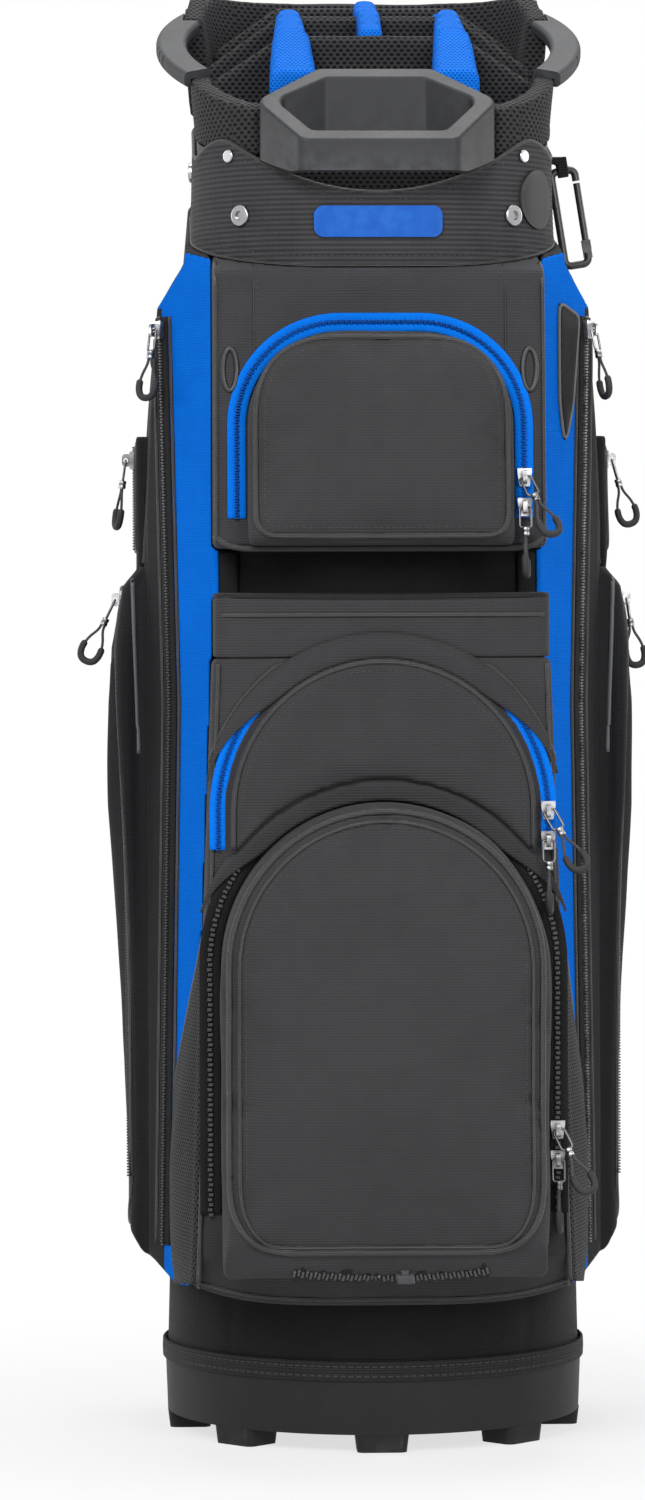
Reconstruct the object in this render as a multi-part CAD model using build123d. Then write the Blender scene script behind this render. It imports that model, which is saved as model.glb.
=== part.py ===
from build123d import *
from math import atan2, cos, degrees, pi, radians, sin, sqrt, tan
import os

# A free-standing golf cart bag: a tapering cloth tube on a moulded boot, zipped pockets round it and
# a fourteen-way divided top. Millimetres. The origin is on the floor under the tube's axis, +Z is up
# and the front pockets face -Y. The left side is modelled and the right side is its mirror image.

# Boot
BOOT_DIAMETER = 262.0
BOOT_HEIGHT = 50.0
BOOT_FLOOR = 4.0
BOOT_DRAFT = 1.5
LUG_COUNT = 8
LUG_HEIGHT = 11.0
LUG_WIDTH = 33.0
LUG_LENGTH = 28.0
LUG_CORNER = 6.0
LUG_DRAFT = 7.0
CENTRE_FOOT_DIAMETER = 70.0
UPSTAND_HEIGHT = 26.0
UPSTAND_WALL = 3.0
BINDING_HEIGHT = 12.0
BINDING_THICKNESS = 1.8

# Cloth tube
SHELL_WALL = 4.0
SHELL_STEP = 1.0
THROAT_WIDTH = 214.0
THROAT_DEPTH = 236.0
THROAT_CORNER = 70.0
THROAT_HEIGHT = 860.0
TOP_SLOPE = 14.0
SHELL_TOP = 960.0
TUBE_TOP = 778.0
FRONT_SEAM = 92.0
FIT = 0.3

# Top collar, stays and cuff
COLLAR_WALL = 6.0
COLLAR_RISE = 37.0
SKIRT_DEPTH = 28.0
SKIRT_WALL = 3.0
SKIRT_LAP = 4.0
STAY_DIAMETER = 7.0
STAY_SOCKET_WALL = 3.5
STAY_SOCKET_DEPTH = 16.0
STAY_SEAT = 12.0
CUFF_THICKNESS = 2.4
CUFF_LOW = 752.0
CUFF_HIGH = 806.0
CUFF_PEAK = 800.0
CUFF_PEAK_FRONT = -88.0
CUFF_PEAK_BACK = -60.0
SCOOP_RADIUS = 141.0
SCOOP_LOW = 766.0

# Divided top
BAR_THICKNESS = 12.0
BAR_PLACES = ((-30.0, 870.0), (23.0, 888.0), (74.0, 899.0))
BAR_LIFT = 8.0
BAR_REACH = 150.0
BAR_CREST_HALF = 56.0
SPINE_THICKNESS = 14.0
SPINE_OFFSET = 50.0
SPINE_PROUD = 5.0
SPINE_SINK = 8.0
SPINE_FRONT_HALF = 14.5
SPINE_BACK_HALF = 7.5
SPINE_ROUND = 6.0
SPINE_CUP_DROP = 4.0
PAD_ROUND = 4.0
SHEET_THICKNESS = 2.0
SHEET_MARGIN = 4.0
SHEET_LIFT = 2.0
SHEET_REAR = 24.0

# Crown: rim pads and moulded grips
RIM_FLARE = 10.0
RIM_THICKNESS = 13.0
RIM_HIGH = 878.0
RIM_FRONT = 46.0
RIM_KNEE = 80.0
RIM_REAR = 118.0
RIM_FRONT_REACH = 140.0
RIM_REAR_REACH = 150.0
ARM_DROP = 16.0
ARM_HIGH = RIM_HIGH - ARM_DROP
ARM_SLOPE = 22.0
ARM_REAR = -36.0
ARM_INNER = 66.0
GRIP_WIDTH = 19.0
GRIP_THICKNESS = 10.0
GRIP_OUT = 124.0
GRIP_DROP = 10.0
GRIP_MIDDLE = (10.0, RIM_HIGH - GRIP_DROP)
GRIP_LAP_REAR = 14.0
GRIP_LAP_FRONT = 12.0
GRIP_SINK = 4.0
GRIP_RIB_COUNT = 7
GRIP_RIB_DEPTH = 1.6
CUP_REAR = -80.0
CUP_FRONT = -148.0
CUP_REAR_HALF = 35.0
CUP_SIDE_HALF = 75.0
CUP_FRONT_HALF = 47.0
CUP_WALL = 11.0
CUP_RIM_HIGH = 847.0
CUP_SLOPE = 37.0
CUP_LOW = 777.0
CUP_SEAT = 0.6
CUP_CORNER = 9.0
CUP_INNER_CORNER = 6.0
CUP_NOTCH_LOW = 767.7
CUP_RIM_ROUND = 2.5

# Front pockets
BLOCK_BACK = -60.0
YOKE_HALF = 101.0
YOKE_TOP_OUT = 131.0
YOKE_BOTTOM_OUT = 146.0
YOKE_BOTTOM = 550.0
YOKE_ROUND = 9.0
CUFF_GAP = 0.6
UPPER_MARGIN = 21.0
UPPER_HALF = YOKE_HALF - UPPER_MARGIN
UPPER_HEIGHT = 130.0
UPPER_CORNER = 56.0
UPPER_DEPTH = 24.0
UPPER_ROUND = 14.0
UPPER_LOW = 1.0
SLIP_GAP = 29.0
SLIP_DEPTH = 37.0
SLIP_WALL = 3.5
MIDDLE_OUT = 164.0
MIDDLE_LAP = 1.0
MIDDLE_FOOT_HALF = 116.0
MIDDLE_ROUND = 10.0
MIDDLE_ARCH_HIGH = 392.0
MIDDLE_ARCH_RADIUS = 99.0
MIDDLE_LEG = 23.0
MIDDLE_FACE_DEPTH = 9.0
MIDDLE_FACE_ROUND = 6.0
POCKET_LOW = 92.0
COOLER_OUT = 206.0
COOLER_ARCH_HIGH = 300.0
COOLER_HALF = 97.5
COOLER_LOW = 112.0
COOLER_ROUND = 16.0
APRON_RISE = 26.0
APRON_STEP = 16.0
COOLER_FOOT_RISE = 26.0
COOLER_FOOT_STEP = 18.0

# Zips
TAPE_HALF = 6.5
TAPE_THICKNESS = 1.2
COIL_WIDTH = 2.8
COIL_HEIGHT = 1.6
UPPER_ZIP_LOW = 18.0
COOLER_ZIP_LEG = 150.0
LONG_ZIP_INSETS = (18.0, 27.0, 17.0)
LONG_ZIP_DROP = 6.0
LONG_ZIP_BELLY = 455.0
LONG_ZIP_LIFT = 24.0
POUCH_TRACK = ((10.0, -12.0), (26.0, -380.0))
SMALL_TRACK = ((-36.0, -6.0), (-36.0, -70.0))

# Side pockets, given for the left side
SIDE_LOW = 96.0
SIDE_ROOT = -40.0
SIDE_LAP = 1.0
SIDE_FRONT = (-YOKE_HALF + SIDE_LAP, -101.0)
SIDE_EDGE = (-141.0, -40.0)
SIDE_OUT = (-147.0, 20.0)
SIDE_REAR = (-141.0, 84.0)
SIDE_BACK = (-100.0, 104.0)
BLUE_THICKNESS = 3.0
SIDE_ROUND = 14.0
NECK_RISE = 30.0
NECK_DROP = 26.0
NECK_OUT = 5.0
SHOULDER_OUT = 134.0
SHOULDER_LOW = 700.0
CHEST_OUT = 139.0
BELLY_OUT = 146.0
BELLY_HIGH = 470.0
BELLY_LOW = 186.0
SIDE_FOOT_RISE = 16.0
POUCH_FRONT = -36.0
POUCH_REAR = 72.0
POUCH_LOW = 112.0
POUCH_HIGH = 540.0
POUCH_OUT_HIGH = 154.0
POUCH_OUT_LOW = 152.0
POUCH_FOOT_RISE = 14.0
POUCH_FOOT_STEP = 8.0
POUCH_ROOT = 130.0
POUCH_ROUND = 7.0
VALUABLES_FRONT = -22.0
VALUABLES_HIGH = 622.0
VALUABLES_OUT = 147.0
VALUABLES_ROUND = 4.0
POUCH_GAP = 6.0
MESH_THICKNESS = 1.6
MESH_HIGH = 330.0
MESH_DROP = 115.0
MESH_FRONT = 158.0
MESH_BACK = 29.5
MESH_LAP = 1.0
MESH_FLOOR_ROOT = (-90.0, -80.0)

# Zip sliders and their pulls
SLIDER_LENGTH = 11.0
SLIDER_WIDTH = 8.6
SLIDER_TAIL = 6.0
SLIDER_PLATE = 1.3
SLIDER_GAP = 0.3
BRIDGE_LENGTH = 8.0
BRIDGE_WIDTH = 2.6
BRIDGE_HEIGHT = 4.8
BRIDGE_BORE = 3.0
LINK_WIRE = 1.5
LINK_WIDTH = 7.0
LINK_LENGTH = 13.0
BARREL_DIAMETER = 4.6
BARREL_LENGTH = 5.0
CORD_DIAMETER = 1.7
CORD_POINTS = ((-1.1, -18.0), (-1.1, -21.0), (-5.0, -28.0), (-6.6, -36.0), (-4.0, -42.5), (4.0, -42.5),
               (6.6, -36.0), (5.0, -28.0), (1.1, -21.0), (1.1, -18.0))
PULL_GRIP_DIAMETER = 4.4
PAIR_PITCH = 18.0
UPPER_SLIDER_LIFT = 24.0
COOLER_SLIDER_LIFT = 50.0
SIDE_SLIDER_DROP = 8.0

# Accessory hook
HOOK_WIRE = 4.8
HOOK_LENGTH = 60.0
HOOK_HALF = 7.5
HOOK_CORNER = 4.0
HOOK_LEAN = 9.0
HOOK_BACK = 12.0
HOOK_HIGH = 790.0
HOOK_STAND = 11.0
HOOK_NOSE = 1.5
HOOK_TAB_ROOT = 8.0
HOOK_STRAP_WIDTH = 7.0
HOOK_STRAP_WALL = 1.6
GATE_TOP = 9.0
GATE_PIVOT = 51.0
GATE_EYE = 5.6
GATE_TANG = 1.8
GATE_PIN = 1.8
GATE_CLEARANCE = 0.2

# Cuff fittings
SNAP_DIAMETER = 13.0
SNAP_HEIGHT = 2.2
SNAP_DIMPLE = 5.85
SNAP_LIFT = 27.0
SNAP_ANGLES = (39.0, 100.0, 150.0)
RIVET_DIAMETER = 8.0
RIVET_HEIGHT = 1.8
RIVET_LIFT = 62.0
RIVET_ANGLE = 46.0
ROUND_BADGE_DIAMETER = 36.0
ROUND_BADGE_ANGLE = 56.0
ROUND_BADGE_LIFT = 34.0
FRONT_BADGE_WIDTH = 78.0
FRONT_BADGE_HEIGHT = 19.0
FRONT_BADGE_CORNER = 6.0
FRONT_BADGE_LIFT = 26.0
BADGE_THICKNESS = 1.6

# Shoulder strap on the rear
STRAP_WIDTH = 58.0
STRAP_LOW = 450.0
STRAP_HIGH = 690.0
STRAP_STAND = 13.0
STRAP_BOW = 14.0
STRAP_THICKNESS = 12.0
WEB_WIDTH = 36.0
WEB_THICKNESS = 2.0
WEB_LAP = 6.0
WEB_TAB_ROOT = 12.0
RING_WIRE = 4.0
RING_WIDTH = 44.0
RING_HEIGHT = 16.0
RING_TOP = 728.0
RING_LOW = 352.0

SPAN = 1400.0
FOOT_WIDTH = BOOT_DIAMETER - 2 * SHELL_STEP
FOOT_CORNER = FOOT_WIDTH / 2 - 0.5
FLOOR_TOP = LUG_HEIGHT + BOOT_FLOOR
COLLAR_TOP = TUBE_TOP + COLLAR_RISE
SLIP_TOP = YOKE_BOTTOM - SLIP_GAP
MIDDLE_TOP = SLIP_TOP - SLIP_DEPTH
RISE = tan(radians(TOP_SLOPE))


# Shared shapes
def shell_size(z):
    """Width, depth and corner radius of the tube's outside at a height."""
    share = (z - BOOT_HEIGHT) / (THROAT_HEIGHT - BOOT_HEIGHT)
    width = FOOT_WIDTH + share * (THROAT_WIDTH - FOOT_WIDTH)
    depth = FOOT_WIDTH + share * (THROAT_DEPTH - FOOT_WIDTH)
    corner = FOOT_CORNER + share * (THROAT_CORNER - FOOT_CORNER)
    return width, depth, corner


def shell_section(z, grow):
    width, depth, corner = shell_size(z)
    outline = RectangleRounded(width + 2 * grow, depth + 2 * grow, corner + grow)
    return Plane.XY.offset(z) * outline


def shell_solid(grow, low=BOOT_HEIGHT, high=SHELL_TOP):
    """The tube's outside, moved out by grow, as a solid between two heights."""
    return loft([shell_section(low, grow), shell_section(high, grow)], ruled=True)


def shell_ring(outer, inner, low=BOOT_HEIGHT, high=SHELL_TOP):
    return shell_solid(outer, low, high) - shell_solid(inner, low - 1, high + 1)


def shell_x(y, z, grow):
    """How far out the tube's side is at a depth and a height."""
    width, depth, corner = shell_size(z)
    past = max(0.0, abs(y) - (depth / 2 - corner))
    return width / 2 - corner + sqrt((corner + grow) ** 2 - past**2)


def shell_frame(angle, z, grow):
    """Plane on the tube's surface, turned from the front by an angle, facing out."""
    width, depth, corner = shell_size(z)
    out = Vector(sin(radians(angle)), -cos(radians(angle)), 0)
    side = 1 if out.X > 0 else -1
    back = 1 if out.Y > 0 else -1
    centre = Vector(side * (width / 2 - corner), back * (depth / 2 - corner), z)
    return Plane(origin=centre + out * (corner + grow), x_dir=Vector(0, 0, 1).cross(out), z_dir=out)


def below(height, slope=TOP_SLOPE):
    """Everything under a plane that rises to the rear and meets the axis at a height."""
    block = Box(SPAN, SPAN, SPAN, align=(Align.CENTER, Align.CENTER, Align.MAX))
    return Pos(0, 0, height) * Rot(slope, 0, 0) * block


def layer(low, high, slope=TOP_SLOPE):
    return below(high, slope) - below(low, slope)


def box_between(x, y, z):
    size = Box(x[1] - x[0], y[1] - y[0], z[1] - z[0], align=Align.MIN)
    return Pos(x[0], y[0], z[0]) * size


def from_front(points, y_low, y_high):
    """Solid with an outline of (x, z) points, between two depths."""
    face = Plane.XZ * make_face(Polyline(*points, close=True))
    return Pos(0, y_high, 0) * extrude(face, y_high - y_low, dir=(0, -1, 0))


def from_side(points, x_low, x_high):
    """Solid with an outline of (y, z) points, between two places across."""
    face = Plane.YZ * make_face(Polyline(*points, close=True))
    return Pos(x_low, 0, 0) * extrude(face, x_high - x_low, dir=(1, 0, 0))


def from_above(points, z_low, z_high):
    face = make_face(Polyline(*points, close=True))
    return Pos(0, 0, z_low) * extrude(face, z_high - z_low)


def mirrored(shape):
    return mirror(shape, about=Plane.YZ)


def arch(half, low, spring):
    """Face with straight legs from low to spring and a half circle on top."""
    legs = Pos(0, (low + spring) / 2) * Rectangle(2 * half, spring - low)
    cap = Circle(half) & Pos(0, half / 2) * Rectangle(2 * half, half)
    return legs + Pos(0, spring) * cap


def shouldered(half, low, high, corner):
    """Face with a straight foot and two rounded top corners."""
    face = Pos(0, (low + high) / 2) * Rectangle(2 * half, high - low)
    tops = face.vertices().sort_by(Axis.Y)[-2:]
    return fillet(tops, corner)


def union(parts):
    total = parts[0]
    for part in parts[1:]:
        total = total + part
    return total


def cloth_plane(origin, out, up):
    """Plane on a face of cloth: x across, y along up, z away from the cloth."""
    out = Vector(*out).normalized()
    up = Vector(*up)
    return Plane(origin=origin, x_dir=up.cross(out), z_dir=out)


def zip_strip(plane, outline):
    """Tape with a raised coil along its middle; outline(offset) gives the face inside the track."""
    tape = extrude(plane * (outline(TAPE_HALF) - outline(-TAPE_HALF)), TAPE_THICKNESS)
    ridge = outline(COIL_WIDTH / 2) - outline(-COIL_WIDTH / 2)
    coil = extrude(plane.offset(TAPE_THICKNESS) * ridge, COIL_HEIGHT)
    return tape + coil


def straight_zip(plane, points):
    """Tape with a raised coil along a bent line given on the plane."""
    track = Polyline(*points)
    tape = extrude(plane * trace(track, 2 * TAPE_HALF), TAPE_THICKNESS)
    coil = extrude(plane.offset(TAPE_THICKNESS) * trace(track, COIL_WIDTH), COIL_HEIGHT)
    return tape + coil


nodes = {}

# Boot: a drafted cup with eight feet and a centre foot, and a thin upstand that the tube is sewn to
boot_radius = BOOT_DIAMETER / 2
upstand_radius = shell_size(BOOT_HEIGHT + UPSTAND_HEIGHT)[0] / 2 - SHELL_WALL - FIT
cup_profile = Polyline(
    (0, LUG_HEIGHT),
    (boot_radius - BOOT_DRAFT, LUG_HEIGHT),
    (boot_radius, BOOT_HEIGHT),
    (upstand_radius, BOOT_HEIGHT),
    (upstand_radius, BOOT_HEIGHT + UPSTAND_HEIGHT),
    (upstand_radius - UPSTAND_WALL, BOOT_HEIGHT + UPSTAND_HEIGHT),
    (upstand_radius - UPSTAND_WALL, FLOOR_TOP),
    (0, FLOOR_TOP),
    close=True,
)
boot_cup = revolve(Plane.XZ * make_face(cup_profile), Axis.Z)
lug_middle = boot_radius - BOOT_DRAFT - LUG_LENGTH / 2
lug_plan = Pos(lug_middle, 0) * RectangleRounded(LUG_LENGTH, LUG_WIDTH, LUG_CORNER)
lug = Pos(0, 0, LUG_HEIGHT) * extrude(lug_plan, LUG_HEIGHT, dir=(0, 0, -1), taper=LUG_DRAFT)
feet = [Rot(0, 0, -90 + 360 * i / LUG_COUNT) * lug for i in range(LUG_COUNT)]
centre_plan = Circle(CENTRE_FOOT_DIAMETER / 2)
centre_foot = Pos(0, 0, LUG_HEIGHT) * extrude(centre_plan, LUG_HEIGHT, dir=(0, 0, -1), taper=LUG_DRAFT)
boot = union([boot_cup, centre_foot] + feet)

# Stays: four rods from sockets in the boot to sockets in the collar
stay_radius = STAY_DIAMETER / 2
socket_radius = stay_radius + STAY_SOCKET_WALL
stay_depths = (BAR_PLACES[0][0], BAR_PLACES[2][0])


def stay_column(y, radius, low, high):
    """Slanted round column on the left stay's line at one depth."""
    foot_x = sqrt((upstand_radius - UPSTAND_WALL) ** 2 - y**2) - socket_radius
    head_z = TUBE_TOP + RISE * y
    head_x = shell_x(y, head_z, -SHELL_WALL - FIT - SKIRT_WALL) - stay_radius - FIT
    lean = (head_x - foot_x) / (head_z - FLOOR_TOP)
    start = Vector(-foot_x - lean * (low - FLOOR_TOP), y, low)
    run = Vector(-lean * (high - low), 0, high - low)
    disc = Pos(start) * Circle(radius)
    return extrude(disc, run.length, dir=run)


stays = []
collar_sockets = []
for y in stay_depths:
    head = TUBE_TOP + RISE * y
    rod = stay_column(y, stay_radius, FLOOR_TOP, head + STAY_SEAT)
    bore = stay_column(y, stay_radius + FIT / 2, FLOOR_TOP, head + STAY_SEAT)
    foot_socket = stay_column(y, socket_radius, FLOOR_TOP, FLOOR_TOP + STAY_SOCKET_DEPTH)
    head_socket = stay_column(y, socket_radius, head - SKIRT_DEPTH / 2, head + STAY_SEAT + STAY_SOCKET_WALL)
    boot = boot + foot_socket + mirrored(foot_socket) - bore - mirrored(bore)
    stays += [rod, mirrored(rod)]
    collar_sockets.append((head_socket, bore))

nodes["base_boot"] = boot
nodes["stay_rods"] = stays

# Binding: a stitched band over the joint of tube and boot
band_middle = boot_radius + BINDING_THICKNESS / 2
band_profile = Pos(band_middle, BOOT_HEIGHT) * Rectangle(BINDING_THICKNESS, BINDING_HEIGHT)
nodes["base_binding"] = revolve(Plane.XZ * band_profile, Axis.Z)

# Cloth tube in four sewn panels
tube_wall = shell_ring(0, -SHELL_WALL) & below(TUBE_TOP)
centre_strip = box_between((-FRONT_SEAM, FRONT_SEAM), (-SPAN, 0), (0, SPAN))
nodes["front_panel"] = tube_wall & centre_strip
nodes["rear_panel"] = tube_wall & mirror(centre_strip, about=Plane.XZ)
left_half = box_between((-SPAN, -FRONT_SEAM), (-SPAN, SPAN), (0, SPAN))
left_wall = tube_wall & left_half
nodes["side_walls"] = [left_wall, mirrored(left_wall)]

# Grab cup: a six-sided moulded hoop that is the front handle
cup_wide = CUP_REAR + 0.45 * (CUP_FRONT - CUP_REAR)


def cup_outline(inset):
    return (
        (CUP_REAR_HALF - inset * 0.45, CUP_REAR - inset),
        (CUP_SIDE_HALF - inset * 1.3, cup_wide),
        (CUP_FRONT_HALF - inset * 0.6, CUP_FRONT + inset),
        (-CUP_FRONT_HALF + inset * 0.6, CUP_FRONT + inset),
        (-CUP_SIDE_HALF + inset * 1.3, cup_wide),
        (-CUP_REAR_HALF + inset * 0.45, CUP_REAR - inset),
    )


def cup_prism(inset, low, high, corner):
    block = from_above(cup_outline(inset), low, high)
    return fillet(block.edges().filter_by(Axis.Z), corner)


def scoop_roll(lift):
    """Round trough across the front, whose lowest line is the middle of the cuff's upper edge."""
    return Pos(0, 0, SCOOP_LOW + SCOOP_RADIUS + lift) * Rot(90, 0, 0) * Cylinder(SCOOP_RADIUS, SPAN)


cup_cut = below(CUP_RIM_HIGH - tan(radians(CUP_SLOPE)) * CUP_REAR, CUP_SLOPE)
cup_blank = cup_prism(0, CUP_LOW, CUP_RIM_HIGH + 40, CUP_CORNER)
cup = cup_blank & cup_cut & scoop_roll(CUP_SEAT)
cup = cup - cup_prism(CUP_WALL, CUP_LOW - 1, CUP_RIM_HIGH + 41, CUP_INNER_CORNER)
cup_side_low = SCOOP_LOW + SCOOP_RADIUS - sqrt(SCOOP_RADIUS**2 - CUP_SIDE_HALF**2) + 3
rim_edges = [e for e in cup.edges() if e.center().Z > cup_side_low and abs(e.tangent_at(0.5).Z) < 0.8]
nodes["front_handle"] = fillet(rim_edges, CUP_RIM_ROUND)

# Top collar: a moulded ring with a skirt inside the tube, notched for the grab cup
collar = shell_ring(0, -COLLAR_WALL) & layer(TUBE_TOP, COLLAR_TOP)
skirt_out = -SHELL_WALL - FIT
skirt = shell_ring(skirt_out, skirt_out - SKIRT_WALL)
skirt = skirt & layer(TUBE_TOP - SKIRT_DEPTH, TUBE_TOP + SKIRT_LAP)
collar = collar + skirt
for socket, bore in collar_sockets:
    socket = socket & shell_solid(-SHELL_WALL - FIT - SKIRT_WALL / 2)
    collar = collar + socket + mirrored(socket) - bore - mirrored(bore)
cup_notch = from_above(cup_outline(-FIT), CUP_NOTCH_LOW, COLLAR_TOP + 40)
nodes["top_collar"] = collar - cup_notch

# Cuff: a ribbed cloth band round the top, scooped under the grab cup
cuff_profile = (
    (SPAN, 0),
    (SPAN, CUFF_HIGH + RISE * SPAN),
    (CUFF_PEAK_BACK, CUFF_HIGH + RISE * CUFF_PEAK_BACK),
    (CUFF_PEAK_FRONT, CUFF_PEAK),
    (-SPAN, CUFF_PEAK),
    (-SPAN, 0),
)
cuff_ring = shell_ring(CUFF_THICKNESS + FIT, FIT) & from_side(cuff_profile, -SPAN, SPAN)
front_half = from_above(((-SPAN, -SPAN), (SPAN, -SPAN), (SPAN, 0), (-SPAN, 0)), 0, SPAN)
nodes["cuff"] = cuff_ring - below(CUFF_LOW) - (scoop_roll(0) & front_half)

# Cuff fittings: hood snaps, rivets and two bare badge places
cuff_out = CUFF_THICKNESS + FIT
cuff_body = shell_solid(cuff_out)


def cuff_stud(angle, above, diameter, height, dimple):
    """Round fitting on the cuff, above its lower edge, turned from the front."""
    probe = shell_frame(angle, CUFF_LOW, cuff_out)
    z = CUFF_LOW + RISE * probe.origin.Y + above
    plane = shell_frame(angle, z, cuff_out)
    stud = extrude(plane.offset(-2) * Circle(diameter / 2), height + 2)
    crown = stud.faces().sort_by_distance(plane.offset(height).origin)[0]
    stud = fillet(crown.edges(), height * 0.45)
    if dimple:
        stud = stud - extrude(plane.offset(height * 0.3) * Circle(dimple / 2), height)
    return stud - cuff_body


snaps = []
for angle in SNAP_ANGLES:
    for side in (1, -1):
        snaps.append(cuff_stud(side * angle, SNAP_LIFT, SNAP_DIAMETER, SNAP_HEIGHT, SNAP_DIMPLE))
rivets = [cuff_stud(side * RIVET_ANGLE, RIVET_LIFT, RIVET_DIAMETER, RIVET_HEIGHT, 0) for side in (1, -1)]
nodes["cuff_studs"] = snaps + rivets
badge_skin = shell_ring(cuff_out + BADGE_THICKNESS, cuff_out)
round_high = CUFF_LOW + RISE * CUFF_PEAK_FRONT + ROUND_BADGE_LIFT
round_frame = shell_frame(ROUND_BADGE_ANGLE, round_high, 0)
round_badge = badge_skin & extrude(round_frame * Circle(ROUND_BADGE_DIAMETER / 2), SPAN)
front_high = CUFF_LOW - RISE * shell_size(CUFF_LOW)[1] / 2 + FRONT_BADGE_LIFT
front_frame = Plane(origin=(0, 0, front_high), x_dir=(1, 0, 0), z_dir=(0, -1, 0))
front_face = RectangleRounded(FRONT_BADGE_WIDTH, FRONT_BADGE_HEIGHT, FRONT_BADGE_CORNER)
front_badge = badge_skin & extrude(front_frame * front_face, SPAN)
nodes["badge_patches"] = [front_badge, round_badge]

# Divided top: three padded bars across, blue spines along, and full-length sheets under them
throat = shell_solid(-COLLAR_WALL - FIT)
bars = []
for y, crest in BAR_PLACES:
    low = TUBE_TOP + RISE * y + BAR_LIFT
    end = COLLAR_TOP + RISE * y
    outline = (
        (-BAR_REACH, low),
        (BAR_REACH, low),
        (BAR_REACH, end),
        (BAR_CREST_HALF, crest),
        (-BAR_CREST_HALF, crest),
        (-BAR_REACH, end),
    )
    bar = from_front(outline, y - BAR_THICKNESS / 2, y + BAR_THICKNESS / 2) & throat
    top_edges = [e for e in bar.edges() if e.center().Z > end + 1 and abs(e.tangent_at(0.5).X) > 0.7]
    bar = fillet(top_edges, PAD_ROUND)
    if y in stay_depths:
        socket_top = TUBE_TOP + RISE * y + STAY_SEAT + STAY_SOCKET_WALL + FIT
        socket_room = stay_column(y, socket_radius + FIT, low - STAY_SOCKET_DEPTH, socket_top)
        bar = bar - socket_room - mirrored(socket_room)
    bars.append(bar)
nodes["divider_bars"] = bars

half_bar = BAR_THICKNESS / 2
bay_edges = [CUP_REAR] + [place[0] for place in BAR_PLACES] + [shell_size(COLLAR_TOP)[1] / 2]
spine_run = BAR_PLACES[1][0] - half_bar - CUP_REAR


def spine_half(y):
    """Half width of the broad spines, which narrow to the rear."""
    return SPINE_FRONT_HALF + (SPINE_BACK_HALF - SPINE_FRONT_HALF) * (y - CUP_REAR) / spine_run


spines = []
sheets = []
for bay in range(4):
    y_front = bay_edges[bay] + (half_bar if bay > 0 else FIT)
    y_back = bay_edges[bay + 1] - (half_bar if bay < 3 else 0)
    front_crest = BAR_PLACES[bay - 1][1] + SPINE_PROUD if bay > 0 else CUP_RIM_HIGH - SPINE_CUP_DROP
    back_crest = BAR_PLACES[bay][1] + SPINE_PROUD if bay < 3 else BAR_PLACES[2][1] - SPINE_PROUD
    low = TUBE_TOP + RISE * bay_edges[bay] + BAR_LIFT
    offsets = (-SPINE_OFFSET, SPINE_OFFSET) if bay in (0, 3) else (-SPINE_OFFSET, 0, SPINE_OFFSET)
    for x in offsets:
        broad = bay < 2 and x != 0
        sunk = SPINE_SINK if bay > 1 and x != 0 else 0
        front_half_width = spine_half(y_front) if broad else SPINE_THICKNESS / 2
        back_half_width = spine_half(y_back) if broad else SPINE_THICKNESS / 2
        outline = ((y_front, low), (y_back, low), (y_back, back_crest - sunk), (y_front, front_crest - sunk))
        plan = (
            (x - front_half_width, y_front),
            (x + front_half_width, y_front),
            (x + back_half_width, y_back),
            (x - back_half_width, y_back),
        )
        spine = from_above(plan, low, SPAN) & from_side(outline, x - SPAN, x + SPAN)
        crest_low = front_crest - sunk - 2 * SPINE_ROUND
        ridge = [e for e in spine.edges() if e.center().Z > crest_low and abs(e.tangent_at(0.5).Y) > 0.7]
        spine = fillet(ridge, SPINE_ROUND if broad else PAD_ROUND) & throat
        neighbour = nodes["front_handle"] if bay == 0 else nodes["top_collar"]
        spines.append(spine - neighbour)
        start = y_front - half_bar + SHEET_THICKNESS / 2 if bay > 0 else CUP_REAR
        rear = shell_size(TUBE_TOP)[1] / 2 - SHEET_REAR
        stop = y_back + half_bar - SHEET_THICKNESS / 2 if bay < 3 else rear
        across = (x - SHEET_THICKNESS / 2, x + SHEET_THICKNESS / 2)
        sheets.append(box_between(across, (start, stop), (FLOOR_TOP + SHEET_LIFT, low)))
nodes["divider_spines"] = spines
for y, crest in BAR_PLACES:
    low = TUBE_TOP + RISE * y + BAR_LIFT
    clear = 2 * socket_radius + SHEET_MARGIN
    foot_half = sqrt((upstand_radius - UPSTAND_WALL) ** 2 - y**2) - clear
    head_half = shell_x(y, low, -SHELL_WALL - FIT - SKIRT_WALL) - clear
    foot = FLOOR_TOP + SHEET_LIFT
    outline = ((-foot_half, foot), (foot_half, foot), (head_half, low), (-head_half, low))
    sheets.append(from_front(outline, y - SHEET_THICKNESS / 2, y + SHEET_THICKNESS / 2))
nodes["divider_sheets"] = sheets

# Crown: flared rear rim pad, two arm pads and two moulded side grips
rim_low = COLLAR_TOP - RISE * RIM_FRONT_REACH
rim_high = RIM_HIGH + RISE * RIM_REAR_REACH


def crown_solid(grow):
    """Flared continuation of the tube above the collar."""
    width, depth, corner = shell_size(COLLAR_TOP)
    low = Plane.XY.offset(rim_low) * RectangleRounded(width + 2 * grow, depth + 2 * grow, corner + grow)
    wide = 2 * (grow + RIM_FLARE)
    high = Plane.XY.offset(rim_high) * RectangleRounded(width + wide, depth + wide, corner + grow + RIM_FLARE)
    return loft([low, high], ruled=True)


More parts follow.
